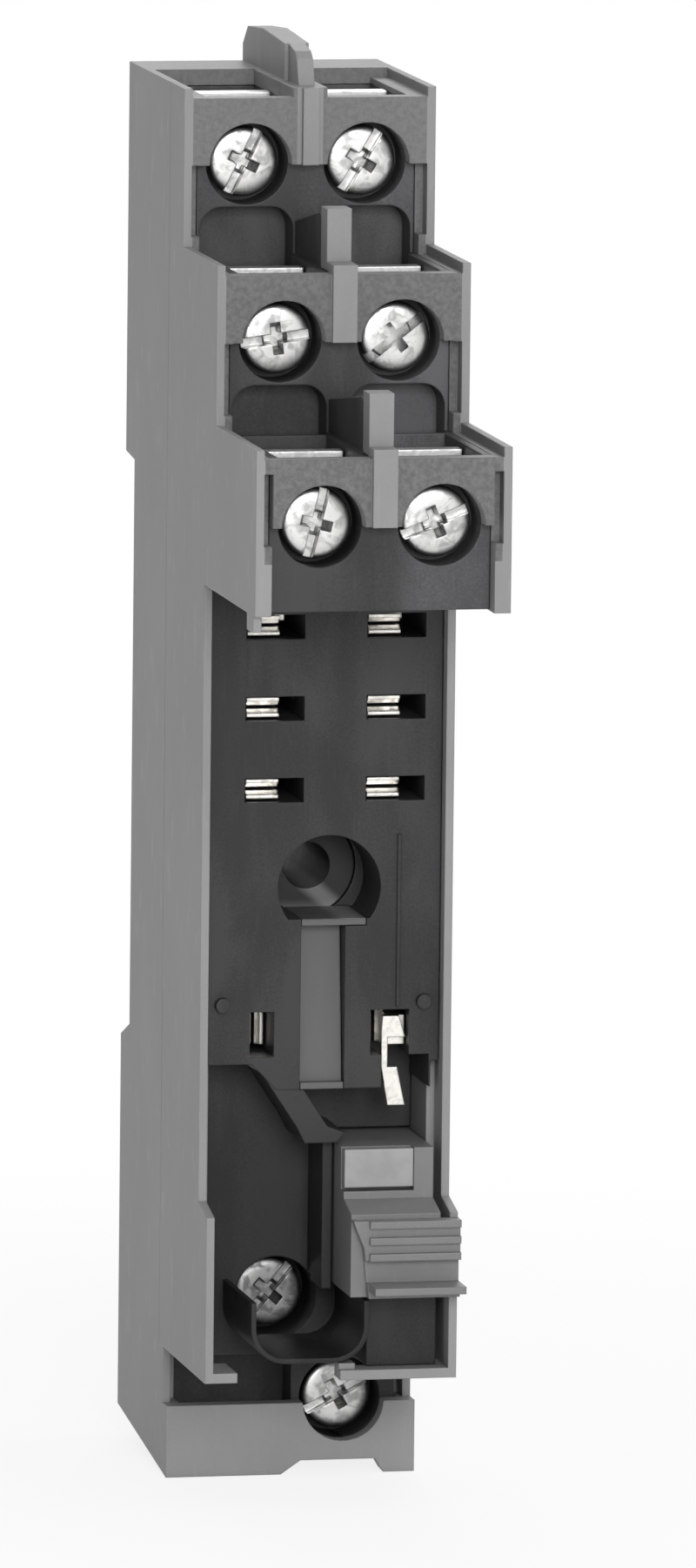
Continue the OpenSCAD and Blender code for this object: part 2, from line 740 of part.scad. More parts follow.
// Way through the carrier for the base's tongue
module tongue_way() {
    w = tongue_w / 2 + fit_gap;
    block(-w, w, carrier_back - cut, deck_depth + cut, deck_bottom - fit_gap, recess_low);
    block(-w, tongue_w + fit_gap, carrier_back - cut, deck_depth + cut,
        recess_low - tongue_step - fit_gap, recess_low);
}

// U-shaped guide for the screwdriver on the deep coil screw
module screw_guide() {
    translate([guide_x, -pocket_depth + tiny, 0]) rotate([90, 0, 0])
        linear_extrude(height = coil_wall_depth - pocket_depth - lip_t) difference() {
            guide_shape(guide_half, guide_low, guide_high, guide_r);
            guide_shape(guide_half - guide_t, guide_low + guide_t, guide_high + cut, guide_r - guide_t);
        }
}

// A straight-sided outline with two rounded lower corners
module guide_shape(half, z0, z1, r) {
    for (s = [-1, 1]) translate([s * (half - r), z0 + r]) circle(r = r, $fn = small_fn);
    translate([-half + r, z0]) square([2 * (half - r), r]);
    translate([-half, z0 + r]) square([2 * half, z1 - z0 - r]);
}

// Arched relief above the wire openings of the next tier
module wire_scoop(x, face, z) {
    w = scoop_w;
    r = scoop_r;
    h = scoop_h;
    translate([x, -face + scoop_depth, z]) rotate([90, 0, 0]) linear_extrude(height = scoop_depth + cut) {
        translate([-w / 2, -cut]) square([w, h - r + cut]);
        translate([-w / 2 + r, h - r]) square([w - 2 * r, r]);
        for (s = [-1, 1]) translate([s * (w / 2 - r), h - r]) circle(r = r, $fn = small_fn);
    }
}

// Fin between the two wire openings of a tier, low at the back and meeting the front post
module tier_divider(back_face, setback, post_face, top) {
    half = fin_t / 2 - chamber_gap;
    end = post_face - setback - post_t - fit_gap;
    slab(-half, half, [
        [back_face - step_in - tiny, top - fin_t], [back_face - step_in - tiny, top + fin_rise - post_t],
        [end - plate_t, top + fin_rise - lip_t], [end, top + fin_rise - 2 * lip_t], [end, top - fin_t]
    ]);
}

// Lower left corner of the deck that is left out
deck_corner_h = 1.6;
deck_corner = [
    [-carrier_w - cut, deck_bottom - cut], [-carrier_w - cut, deck_bottom + deck_corner_h],
    [-4.35, deck_bottom + deck_corner_h], [-1.85, deck_bottom - cut]
];

bay_x0 = module_x0 - module_gap;
bay_top = module_top + module_gap;
bay_wall = 0.6;
pocket_rib = [
    [pocket_rib_x[0] - wall, deck_bottom + deck_corner_h], [pocket_rib_x[0], deck_bottom + wall],
    [pocket_rib_x[1], bay_top + wall], [pocket_rib_x[1] + lip_t, bay_top], [bay_x0, bay_top],
    [bay_x0 + lip_t, bay_top + bay_wall], [pocket_rib_x[1] + pocket_rib_w, bay_top + wall],
    [pocket_rib_x[0] + pocket_rib_w, deck_bottom + wall],
    [pocket_rib_x[0] + lip_t, deck_bottom + deck_corner_h + bay_wall]
];

// Thin rib and round nibs on the deck
deck_rib_x = pin_pitch / 2 + 0.9;
deck_rib_w = 0.2;
nib_d = 0.9;
nib_rise = 0.5;

module contact_carrier() {
    color("#5c5d5f") difference() {
        union() {
            difference() {
                slab(-carrier_w, carrier_w, carrier_outline);
                front_slab(pocket_depth, deck_depth + cut, deck_corner);
                // Bay for the module
                block(bay_x0, carrier_w + cut, bay_floor, deck_depth, module_bottom - module_gap, bay_top);
            }
            // Diagonal rib across the coil pocket
            front_slab(pocket_root, deck_depth - fit_gap, pocket_rib);
            // Left wall of the module's bay
            block(bay_x0 - bay_wall, bay_x0, pocket_root, pocket_depth + 2 * nut_t + post_t,
                module_bottom - 2 * module_gap, bay_top);
            // Block below the module
            block(guide_x + guide_half - tiny, carrier_w, pocket_root, coil_wall_depth - nut_t,
                frame_bottom + bar_h + fit_gap, module_bottom - module_gap);
            // Shoulders of the deck under the walls' lips
            both_sides() block(carrier_w - tiny, half_w - lip_t - fit_gap, deck_depth - shoulder_t, deck_depth,
                deck_bottom + deck_corner_h, deck_top - 2 * notch_bevel);
            // Dividers between the wire openings
            tier_divider(tier1_depth, mid_post_setback, tier2_depth, tier2_top);
            tier_divider(tier2_depth, low_post_setback, tier3_depth, tier3_top);
            block(deck_rib_x - deck_rib_w / 2, deck_rib_x + deck_rib_w / 2,
                deck_depth - tiny, deck_depth + deck_rib_w,
                coil_z + coil_slot_h / 2 + deck_rib_w, row3_z - coil_slot_h);
            both_sides()
                rod(carrier_w - lip_t, coil_z + coil_room, deck_depth - tiny, deck_depth + nib_rise, nib_d);
        }
        deck_slots();
        tongue_way();
        column_rooms();
        coil_rooms();
        // Open front of the tray below the frame
        block(-carrier_w - cut, low_screw_x - head_bore_d / 2 - wall / 2, foot_depth - step_in - tray_depth,
            foot_depth + cut, foot_top - lip_t, frame_bottom);
        for (t = TERMINALS) {
            head_bore(t);
            rod(term_x(t), term_z(t), term_face(t) - chamber_t0 - tiny, term_face(t), shank_hole_d);
        }
        for (i = [0:5])
            term_block(TERMINALS[i], funnel_w / 2, ledge_in, chamber_t1, funnel_low, screw_drop + cut);
        for (s = [-1, 1]) {
            wire_scoop(s * col_x, tier1_depth - step_in, tier2_top - notch_h);
            wire_scoop(s * col_x, tier2_depth - step_in, tier3_top - notch_h);
        }
        // Hole for the boss, and the head's recess with its flat lower side
        rod(0, mount_z, carrier_back - cut, boss_depth + ledge_gap, boss_d + 4 * fit_gap);
        intersection() {
            rod(mount_offset, recess_z, boss_depth, deck_depth + cut, mount_hole_d);
            block(-boss_d, boss_d, boss_depth, deck_depth + cut, recess_low, recess_z + boss_d);
        }
        // Grooves for the catch beads
        both_sides() for (d = catch_depths)
            block(carrier_w - catch_proud - 2 * fit_gap, carrier_w + cut,
                d - catch_gap, d + catch_t + catch_gap,
                mount_z - catch_down - catch_gap, mount_z + catch_up + catch_gap);
        // Blades of the module, and the cross arm of the deep coil strip
        for (x = blade_x)
            block(x - blade_gap, x + blade_t + blade_gap, room_back - strip_gap, bay_floor + cut,
                blade_z - blade_h / 2 - blade_gap, blade_z + blade_h / 2 + blade_gap);
        block(-cell_in - tiny, cell_in + tiny, pocket_depth - bar_depth - strip_t - blade_gap, room_back,
            blade_z - blade_h / 2 - blade_gap, blade_z + blade_h / 2 + blade_gap);
    }
    color("#5c5d5f") {
        screw_guide();
        for (i = [0:5]) ledge(TERMINALS[i]);
    }
}

// ---- Terminal screws and clamps ---------------------------------------------

module terminal_screw(t) {
    length = bar_depth - head_recess - fit_gap;
    color("#d8d9da")
    translate([term_x(t), -(term_face(t) - head_recess), term_z(t)]) rotate([-90, 0, 0])
    difference() {
        rotate_extrude($fn = small_fn) polygon([
            [0, 0], [head_d / 2 - head_bevel, 0], [head_d / 2, head_bevel], [head_d / 2, head_h],
            [shank_d / 2, head_h], [shank_d / 2, length - shank_bevel], [shank_d / 2 - shank_bevel, length],
            [0, length]
        ]);
        rotate([0, 0, term_turn(t)]) {
            translate([-head_d, -drive_slot_w / 2, -cut])
                cube([2 * head_d, drive_slot_w, drive_slot_deep + cut]);
            for (a = [0, 90]) rotate([0, 0, a])
                translate([-cross_reach, -cross_w / 2, -cut])
                    cube([2 * cross_reach, cross_w, cross_deep + cut]);
        }
    }
}

module box_clamp(t) {
    inner = clamp_w / 2 - clamp_t;
    color("#cfd0d2") difference() {
        union() {
            term_block(t, clamp_w / 2, clamp_t0, clamp_t1, -clamp_h / 2, clamp_h / 2);
            term_block(t, guard_w / 2, clamp_t0, clamp_t0 + nut_t, clamp_h / 2 - tiny,
                term_dir(t) > 0 ? guard_rise : coil_guard_rise);
        }
        term_block(t, inner, clamp_t0 + nut_t, clamp_in_back, -clamp_h, clamp_h);
        rod(term_x(t), term_z(t), term_face(t) - clamp_t0 - nut_t - cut, term_face(t) - clamp_t0 + cut,
            shank_d + 2 * shank_gap);
    }
}

// ---- Contact strips ---------------------------------------------------------

// One straight run of a strip between two [depth, z] places
module run(x, w, a, b) {
    block(x - w / 2, x + w / 2, min(a[0], b[0]) - strip_t / 2, max(a[0], b[0]) + strip_t / 2,
        min(a[1], b[1]) - strip_t / 2, max(a[1], b[1]) + strip_t / 2);
}

// A strip that follows a path of [depth, z] places
module path_strip(x, path) {
    for (i = [0:len(path) - 2]) run(x, strip_w, path[i], path[i + 1]);
}

// Two spring leaves that take a relay pin
module receptacle(x, z, front, upright) {
    inner = pin_gap / 2;
    outer = inner + leaf_t;
    neck = front - leaf_flare;
    translate([x, 0, z]) rotate([0, upright ? 90 : 0, 0]) {
        for (s = [-1, 1])
            slab(-leaf_w / 2, leaf_w / 2, [
                [leaf_back, s * inner], [neck, s * inner], [front, s * (inner + leaf_flare)],
                [front, s * (outer + leaf_flare - leaf_t / 4)], [neck, s * outer], [leaf_back, s * outer]
            ]);
        block(-leaf_w / 2, leaf_w / 2, heel_depth, leaf_back + strip_t, -outer, outer);
    }
}

bar_centre = function(t) term_face(t) - bar_depth - strip_t / 2;
bar_end = clamp_h / 2 - clamp_t + chamber_gap;

module tier_strip(i) {
    t = TERMINALS[i];
    x = term_x(t);
    pin_x = sign(x) * pin_pitch / 2;
    start = [bar_centre(t), term_z(t) + bar_end];
    tier = floor(i / 2);
    color("#c9b37a") {
        if (tier == 0) {
            path_strip(x, [start, [start[0], row3_z], [heel_depth, row3_z]]);
            receptacle(pin_x, row3_z, leaf_front, false);
        }
        if (tier == 1) {
            path_strip(x, [start, [start[0], bus2_z], [bus2_depth, bus2_z], [bus2_depth, row2_z],
                [heel_depth, row2_z]]);
            receptacle(pin_x, row2_z, leaf_front, false);
        }
        if (tier == 2) {
            path_strip(x, [start, [start[0], bus3_z], [bus3_depth, bus3_z],
                [bus3_depth, row1_z + pin_gap / 2 + strip_t / 2]]);
            receptacle(pin_x, row1_z, leaf_front, false);
        }
    }
}

// Strip of the deep coil screw, with a cross arm that meets the module's first blade
module deep_coil_strip() {
    t = TERMINALS[6];
    d = bar_centre(t);
    pin_x = -pin_pitch / 2;
    arm_z = blade_z;
    color("#c9b37a") {
        path_strip(term_x(t), [[d, term_z(t) - bar_end], [d, arm_z]]);
        block(pin_x - strip_w / 2, blade_x[0] - fit_gap, d - strip_t / 2, d + strip_t / 2,
            arm_z - blade_h / 2, arm_z + blade_h / 2);
        block(blade_x[0] - fit_gap - arm_t, blade_x[0] - fit_gap, d - strip_t / 2, heel_depth,
            arm_z - blade_h / 2, arm_z + blade_h / 2);
        path_strip(pin_x, [[d, arm_z], [d, coil_z], [heel_depth, coil_z]]);
        receptacle(pin_x, coil_z, coil_leaf_front, true);
    }
}

// Strip of the low coil screw, with an arm for the module's second blade and a tab in the window
module low_coil_strip() {
    t = TERMINALS[7];
    d = bar_centre(t);
    x = term_x(t);
    pin_x = pin_pitch / 2;
    arm_x = blade_x[1] - fit_gap;
    tab_x = pin_x + leaf_t / 2;
    color("#c9b37a") {
        path_strip(x, [[d, term_z(t) - bar_end], [d, coil_z], [heel_depth, coil_z]]);
        block(x, arm_x, d - strip_t / 2, d + strip_t / 2, blade_z - blade_h / 2, blade_z + blade_h / 2);
        block(arm_x - arm_t, arm_x, d - strip_t / 2, heel_depth, blade_z - blade_h / 2, blade_z + blade_h / 2);
        receptacle(pin_x, coil_z, coil_leaf_front, true);
        // Plate beside the receptacle, with a bright heel above and a leaning tab below in the window
        block(pin_x + tab_in, pin_x + tab_out, heel_depth, tab_depth - tab_t,
            coil_z - tab_half, coil_z + tab_half);
        front_slab(tab_depth - tab_t - tiny, tab_depth, [
            [tab_x, coil_z + tab_half], [pin_x + tab_out - tab_t, coil_z + tab_half],
            [pin_x + tab_out, coil_z - tab_t], [pin_x + tab_in, coil_z - tab_t],
            [pin_x + tab_in, tab_top], [pin_x + tab_w, tab_top], [pin_x + tab_out, tab_low],
            [pin_x + tab_out - tab_w, tab_low], [pin_x + leaf_t / 4, tab_top], [pin_x + leaf_t / 4, coil_z]
        ]);
    }
}

module contact_strip(i) {
    if (i < 6) tier_strip(i);
    if (i == 6) deep_coil_strip();
    if (i == 7) low_coil_strip();
}

// ---- Rail clip --------------------------------------------------------------

module rail_clip() {
    window_low = clip_stop_top - clip_stop_h - clip_stop_play;
    clip_step_in = clip_step + clip_gap;
    d0 = clip_back;
    d1 = clip_back + clip_t;
    color("#6a6b6d") difference() {
        union() {
            block(-clip_w / 2 + clip_flange + clip_gap, clip_w / 2 - clip_flange - clip_gap, d0, d1,
                clip_bottom, clip_top);
            block(-clip_w / 2, clip_w / 2, d0 + clip_step_in, d1, clip_bottom, -rail_half - wall);
        }
        // Room for the rail's flange, and the lead-in of the hook
        block(-clip_w, clip_w, hook_back, d1 + cut, -rail_half, clip_top + cut);
        slab(-clip_w, clip_w, [
            [d0 - cut, clip_top + tiny], [d0 - cut, clip_top - wall], [d0, clip_top - wall],
            [hook_back / 2, clip_top + tiny]
        ]);
        block(-clip_window_w / 2, clip_window_w / 2, d0 - cut, d1 + cut, window_low, clip_window_top);
        // Screwdriver slot
        block(-pry_w / 2, pry_w / 2, d0 - cut, d1 + cut, clip_bottom + pry_h, clip_bottom + 2 * pry_h);
    }
}

// Folded strip spring between the base's stop and the clip
module rail_clip_spring() {
    z0 = clip_stop_top;
    z1 = clip_window_top;
    half = (clip_window_w - 1) / 2;
    step = (z1 - z0 - spring_t) / spring_bends;
    color("#c4c6c8") intersection() {
        for (i = [0:spring_bends - 1]) {
            x0 = i % 2 == 0 ? -half : half;
            front_slab(clip_back + clip_step, clip_back + clip_step + spring_depth, [
                [x0, z0 + i * step], [-x0, z0 + (i + 1) * step],
                [-x0, z0 + (i + 1) * step + spring_t], [x0, z0 + i * step + spring_t]
            ]);
        }
        block(-half, half, 0, clip_pocket, z0, z1);
    }
}

// ---- Plug-in module ---------------------------------------------------------

body_top = module_top - 0.02;
body_low = module_bottom + 0.02;
body_back = bay_floor + 0.3;
shell_in = case_t + fit_gap;
slope_top = module_top - window_h - case_t;
grip_top = module_top - 3.7;
grip_back_depth = grip_depth - case_t;
lip_low = module_bottom + 0.5;
lip_edge = 0.45;
lip_band = 1.4;
rib_rise = 0.3;
rib_h = 0.45;

case_outline = [
    [body_back, body_top], [window_depth, body_top], [window_depth, slope_top],
    [grip_back_depth, grip_top], [grip_back_depth, body_low], [body_back, body_low]
];

case_room = [
    [bay_floor, body_top - case_t], [window_depth - window_t - fit_gap, body_top - case_t],
    [window_depth - window_t - fit_gap, slope_top - case_t / 2],
    [grip_depth - 2.2 * case_t, grip_top - case_t],
    [grip_depth - 2.2 * case_t, body_low + case_t], [bay_floor, body_low + case_t]
];

module module_case() {
    x0 = module_x0;
    stem = x0 + window_w - case_t;
    color("#b4b5b6") {
        difference() {
            union() {
                slab(x0, module_x1, case_outline);
                // Ribbed grip that reaches over the side wall
                front_slab(coil_wall_depth + fit_gap, grip_depth, [
                    [x0, grip_top - rib_rise], [half_w, grip_top - rib_rise], [half_w, body_low],
                    [x0 + rib_pitch, body_low], [x0 + case_t, grip_top - 2 * rib_pitch]
                ]);
                for (i = [0:rib_count - 1])
                    block(x0 + rib_pitch, half_w, grip_depth - tiny, grip_depth + rib_rise,
                        grip_top - rib_rise - i * rib_pitch - rib_h, grip_top - rib_rise - i * rib_pitch);
            }
            // Hollow, open at the back
            slab(x0 + case_t, module_x1 - case_t, case_room);
            // Seat of the window and opening for its stem
            block(x0 - cut, x0 + window_w + fit_gap, window_depth - module_shoulder, window_depth + cut,
                slope_top + lip_edge, body_top + cut);
            block(x0 + case_t, stem, window_depth - window_t - 2 * fit_gap, window_depth + cut,
                module_top - window_h, body_top - case_t);
            // Finger groove above the lip
            block(x0 - cut, half_w + cut, grip_depth - lip_groove, grip_depth + cut,
                lip_low + lip_edge, lip_low + lip_edge + lip_band);
        }
        // Finger lip
        block(x0 + rib_pitch, half_w, grip_depth - lip_groove - tiny, grip_depth + lip_reach,
            lip_low, lip_low + lip_edge);
    }
}

module module_window() {
    seat = window_depth - module_shoulder + fit_gap;
    color("#d9dadb") {
        block(module_x0 + fit_gap, module_x0 + window_w, seat, window_depth,
            module_top - window_h, body_top - fit_gap);
        block(module_x0 + shell_in, module_x0 + window_w - shell_in, window_depth - window_t, seat + fit_gap,
            module_top - window_h + fit_gap, body_top - shell_in);
    }
}

module module_base() {
    color("#6a6b6d") difference() {
        block(module_x0 + shell_in, module_x1 - shell_in, body_back, body_back + base_plate_t,
            body_low + shell_in, body_top - shell_in);
        for (x = blade_x)
            block(x - fit_gap, x + blade_t + fit_gap, bay_floor, window_depth,
                blade_z - blade_h / 2 - fit_gap, blade_z + blade_h / 2 + fit_gap);
    }
}

module module_blades() {
    color("#cfd0d2") for (x = blade_x)
        block(x, x + blade_t, blade_end, body_back + base_plate_t + blade_proud, blade_z - blade_h / 2,
            blade_z + blade_h / 2);
}

base_plate_t = 1.6;
blade_proud = 0.7;
board_x = blade_x[0] + case_t + part_gap;
board_t = 0.6;
board_back = body_back + base_plate_t + blade_proud + 2 * fit_gap;
part_x = board_x + board_t + 0.95;
part_back = board_back + lip_t;
resistor_d = 1.3;
resistor_length = 3;
diode_d = 1.2;
diode_length = 2.6;

module module_board() {
    color("#3f6b4a")
        block(board_x, board_x + board_t, board_back, window_depth - 2 * nut_t,
            body_low + case_t + part_gap, body_top - case_t - part_gap);
}

module module_lamp() {
    color("#d98b3a") {
        rod(part_x, module_top - lamp_drop, window_depth - lamp_tip - lamp_length,
            window_depth - lamp_tip, lamp_d);
        translate([part_x, -(window_depth - lamp_tip), module_top - lamp_drop]) sphere(d = lamp_d);
    }
}

module module_resistor() {
    color("#b9a58a")
        rod(part_x, module_bottom + window_w / 2, part_back, part_back + resistor_length, resistor_d);
}

module module_diode() {
    color("#38383a")
        rod(part_x, module_bottom + window_w, part_back, part_back + diode_length, diode_d);
}

// ---- Output -----------------------------------------------------------------

rear_base();
front_housing();
contact_carrier();
rail_clip();
rail_clip_spring();
for (t = TERMINALS) terminal_screw(t);
for (t = TERMINALS) box_clamp(t);
for (i = [0:7]) contact_strip(i);
module_case();
module_window();
module_base();
module_blades();
module_board();
module_lamp();
module_resistor();
module_diode();
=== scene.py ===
"""Dresses a narrow relay socket: moulded shell and carrier, plated terminals, plug-in module, stage."""

import math

import bmesh
import bpy
from bpy.props import FloatProperty, FloatVectorProperty, PointerProperty
from mathutils import Matrix, Vector


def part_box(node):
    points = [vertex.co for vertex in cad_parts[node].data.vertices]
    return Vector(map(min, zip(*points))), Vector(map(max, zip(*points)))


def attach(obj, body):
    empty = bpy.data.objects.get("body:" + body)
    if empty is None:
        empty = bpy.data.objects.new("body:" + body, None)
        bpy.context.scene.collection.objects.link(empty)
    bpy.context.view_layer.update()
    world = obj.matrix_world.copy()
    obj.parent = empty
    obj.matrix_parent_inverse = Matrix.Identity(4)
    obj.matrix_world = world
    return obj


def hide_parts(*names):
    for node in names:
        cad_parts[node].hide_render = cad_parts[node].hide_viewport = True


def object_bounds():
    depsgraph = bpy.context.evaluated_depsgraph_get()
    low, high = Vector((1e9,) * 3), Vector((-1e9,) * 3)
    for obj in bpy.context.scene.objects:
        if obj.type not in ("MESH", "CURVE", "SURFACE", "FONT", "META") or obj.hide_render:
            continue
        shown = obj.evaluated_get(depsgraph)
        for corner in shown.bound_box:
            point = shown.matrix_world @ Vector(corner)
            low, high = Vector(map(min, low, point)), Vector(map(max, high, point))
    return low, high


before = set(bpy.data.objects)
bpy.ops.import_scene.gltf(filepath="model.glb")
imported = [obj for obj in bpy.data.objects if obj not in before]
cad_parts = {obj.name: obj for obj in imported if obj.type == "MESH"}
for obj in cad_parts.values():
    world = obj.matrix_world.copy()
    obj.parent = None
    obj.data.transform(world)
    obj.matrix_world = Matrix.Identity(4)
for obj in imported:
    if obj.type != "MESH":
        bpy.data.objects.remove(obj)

bl_info = {
    "name": "Relay socket dresser",
    "version": (1, 0, 0),
    "blender": (4, 5, 0),
    "location": "View3D > Sidebar > Relay socket",
    "description": "Finishes and detailed pieces for a rail-mounted relay socket",
    "category": "Object",
}

CAD_BOUNDS = [list(corner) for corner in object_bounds()]
MM = 0.001
PLACES = ["1_left", "1_right", "2_left", "2_right", "3_left", "3_right", "coil_deep", "coil_low"]
DRIVE_TURNS = [64, 58, 8, 38, 76, 22, 50, 28]
PANEL_X = (0.8, 7.25)
WELL_X, WELL_HALF = 0.35, 3.45
WELL_LOW, WELL_SILL, WELL_TOP = -22.0, -8.2, -2.4
WELL_BACK = -3.0
LAMPS = (
    ("key_lamp", 3, 15, 0.3, "key"),
    ("side_lamp", 82, 10, 0.5, "side_fill"),
    ("top_lamp", -40, 70, 0.4, "top_fill"),
    ("right_lamp", -97, 12, 0.5, "right_fill"),
    ("back_lamp", 186, 38, 0.5, "back_fill"),
)
LAMP_DISTANCE = 0.8


def span(node, axis):
    """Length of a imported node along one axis."""
    low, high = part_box(node)
    return high[axis] - low[axis]


# ---- Sizes and colours ----------------------------------------------------------------------------


class SocketColours(bpy.types.PropertyGroup):
    """Colours of the socket's finishes"""

    shell: FloatVectorProperty(
        name="Shell", description="Moulded shell, base and foot", subtype="COLOR", size=4,
        min=0, max=1, default=(0.26, 0.261, 0.263, 1))
    carrier: FloatVectorProperty(
        name="Carrier", description="Moulded contact carrier and relay deck", subtype="COLOR", size=4,
        min=0, max=1, default=(0.041, 0.041, 0.0425, 1))
    clip: FloatVectorProperty(
        name="Rail clip", description="Sliding rail clip", subtype="COLOR", size=4,
        min=0, max=1, default=(0.075, 0.076, 0.078, 1))
    module: FloatVectorProperty(
        name="Module", description="Case of the plug-in module", subtype="COLOR", size=4,
        min=0, max=1, default=(0.182, 0.182, 0.184, 1))
    window: FloatVectorProperty(
        name="Window", description="Light window of the plug-in module", subtype="COLOR", size=4,
        min=0, max=1, default=(0.29, 0.29, 0.287, 1))
    screw: FloatVectorProperty(
        name="Screws", description="Plating of the terminal screws", subtype="COLOR", size=4,
        min=0, max=1, default=(0.56, 0.56, 0.552, 1))
    clamp: FloatVectorProperty(
        name="Clamps", description="Plating of the box clamps", subtype="COLOR", size=4,
        min=0, max=1, default=(0.74, 0.74, 0.735, 1))
    contact: FloatVectorProperty(
        name="Contacts", description="Plating of the contact strips", subtype="COLOR", size=4,
        min=0, max=1, default=(0.76, 0.74, 0.70, 1))
    spring: FloatVectorProperty(
        name="Spring", description="Spring steel of the rail clip", subtype="COLOR", size=4,
        min=0, max=1, default=(0.52, 0.52, 0.53, 1))
    board: FloatVectorProperty(
        name="Board", description="Circuit board of the module", subtype="COLOR", size=4,
        min=0, max=1, default=(0.035, 0.15, 0.06, 1))
    lamp: FloatVectorProperty(
        name="Lamp", description="Indicator lamp of the module", subtype="COLOR", size=4,
        min=0, max=1, default=(0.72, 0.26, 0.04, 1))


class SocketSizes(bpy.types.PropertyGroup):
    """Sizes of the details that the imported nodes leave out"""

    edge_round: FloatProperty(
        name="Edge radius", description="Radius that rounds the moulded edges", unit="LENGTH",
        min=0, precision=6, default=0.14 * MM)
    grain: FloatProperty(
        name="Grain", description="Size of the moulded surface grain", unit="LENGTH",
        min=0, precision=6, default=0.16 * MM)
    head_radius: FloatProperty(
        name="Head radius", description="Radius of the screw heads", unit="LENGTH",
        min=0, precision=6, default=span("terminal_screw_1_left", 0) / 2)
    screw_length: FloatProperty(
        name="Screw length", description="Length of the terminal screws", unit="LENGTH",
        min=0, precision=6, default=span("terminal_screw_1_left", 1))
    head_height: FloatProperty(
        name="Head height", description="Height of the screw heads", unit="LENGTH",
        min=0, precision=6, default=1.9 * MM)
    shank_radius: FloatProperty(
        name="Shank radius", description="Radius over the thread", unit="LENGTH",
        min=0, precision=6, default=1.45 * MM)
    thread_pitch: FloatProperty(
        name="Thread pitch", description="Rise of the thread in one turn", unit="LENGTH",
        min=0, precision=6, default=0.5 * MM)
    thread_depth: FloatProperty(
        name="Thread depth", description="Depth of the thread", unit="LENGTH",
        min=0, precision=6, default=0.27 * MM)
    slot_width: FloatProperty(
        name="Slot width", description="Width of the straight driver slot", unit="LENGTH",
        min=0, precision=6, default=0.62 * MM)
    slot_depth: FloatProperty(
        name="Slot depth", description="Depth of the straight driver slot", unit="LENGTH",
        min=0, precision=6, default=0.75 * MM)
    cross_width: FloatProperty(
        name="Cross width", description="Width of the cross recess's arms", unit="LENGTH",
        min=0, precision=6, default=0.72 * MM)
    cross_reach: FloatProperty(
        name="Cross reach", description="Reach of the cross recess's arms", unit="LENGTH",
        min=0, precision=6, default=1.35 * MM)
    cross_depth: FloatProperty(
        name="Cross depth", description="Depth of the cross recess", unit="LENGTH",
        min=0, precision=6, default=1.3 * MM)


class SocketStage(bpy.types.PropertyGroup):
    """Camera, lamps and floor"""

    side: FloatProperty(
        name="Camera side", description="Angle of the camera to the left of the front", unit="ROTATION",
        default=math.radians(11.99))
    height: FloatProperty(
        name="Camera height", description="Angle of the camera above the horizon", unit="ROTATION",
        default=math.radians(8.09))
    roll: FloatProperty(
        name="Camera roll", description="Roll of the camera", unit="ROTATION", default=math.radians(-0.63))
    distance: FloatProperty(
        name="Camera distance", description="Distance from the camera to its target", unit="LENGTH",
        min=0.1, default=1.0)
    lens: FloatProperty(
        name="Lens", description="Focal length in millimetres on a 36 mm long side", min=1, default=374.67)
    target: FloatVectorProperty(
        name="Target", description="Point that the camera looks at", subtype="XYZ", unit="LENGTH", size=3,
        precision=6, default=(3.28 * MM, -15 * MM, -0.95 * MM))
    key: FloatProperty(name="Key lamp", description="Power of the key lamp in watts", min=0, default=4.0)
    side_fill: FloatProperty(
        name="Side lamp", description="Power of the side lamp in watts", min=0, default=0.12)
    right_fill: FloatProperty(
        name="Right lamp", description="Power of the lamp on the right in watts", min=0, default=1.7)
    back_fill: FloatProperty(
        name="Back lamp", description="Power of the lamp behind in watts", min=0, default=2.0)
    top_fill: FloatProperty(name="Top lamp", description="Power of the lamp above in watts", min=0, default=0.8)
    ambient: FloatProperty(
        name="Ambient", description="Strength of the even light all round", min=0, default=0.35)
    floor_radius: FloatProperty(
        name="Floor radius", description="Radius of the round floor", unit="LENGTH", min=0.2, default=5.0)


# ---- Node trees -----------------------------------------------------------------------------------


class Wire:
    """A socket in a node tree. Arithmetic on it adds Math nodes."""

    def __init__(self, graph, socket):
        self.graph = graph
        self.socket = socket

    def math(self, operation, *values):
        return self.graph.add("ShaderNodeMath", {"operation": operation}, dict(enumerate(values)))

    def __add__(self, other):
        return self.math("ADD", self, other)

    __radd__ = __add__

    def __sub__(self, other):
        return self.math("SUBTRACT", self, other)

    def __rsub__(self, other):
        return self.math("SUBTRACT", other, self)

    def __mul__(self, other):
        return self.math("MULTIPLY", self, other)

    __rmul__ = __mul__

    def __truediv__(self, other):
        return self.math("DIVIDE", self, other)

    def __rtruediv__(self, other):
        return self.math("DIVIDE", other, self)

    def __pow__(self, other):
        return self.math("POWER", self, other)

    def at_least(self, other):
        return self.math("MAXIMUM", self, other)

    def at_most(self, other):
        return self.math("MINIMUM", self, other)

    def below(self, other):
        return self.math("LESS_THAN", self, other)

    def over(self, other):
        return self.math("GREATER_THAN", self, other)

    def between(self, low, high):
        return self.over(low) * self.below(high)

    def fraction(self):
        return self.math("FRACT", self)

    def root(self):
        return self.math("SQRT", self)

    def sine(self):
        return self.math("SINE", self)

    def cosine(self):
        return self.math("COSINE", self)

    def size(self):
        return self.math("ABSOLUTE", self)

    def sign(self):
        return self.math("SIGN", self)

    def also(self, name):
        """Another output of the same node."""
        return Wire(self.graph, self.socket.node.outputs[name])


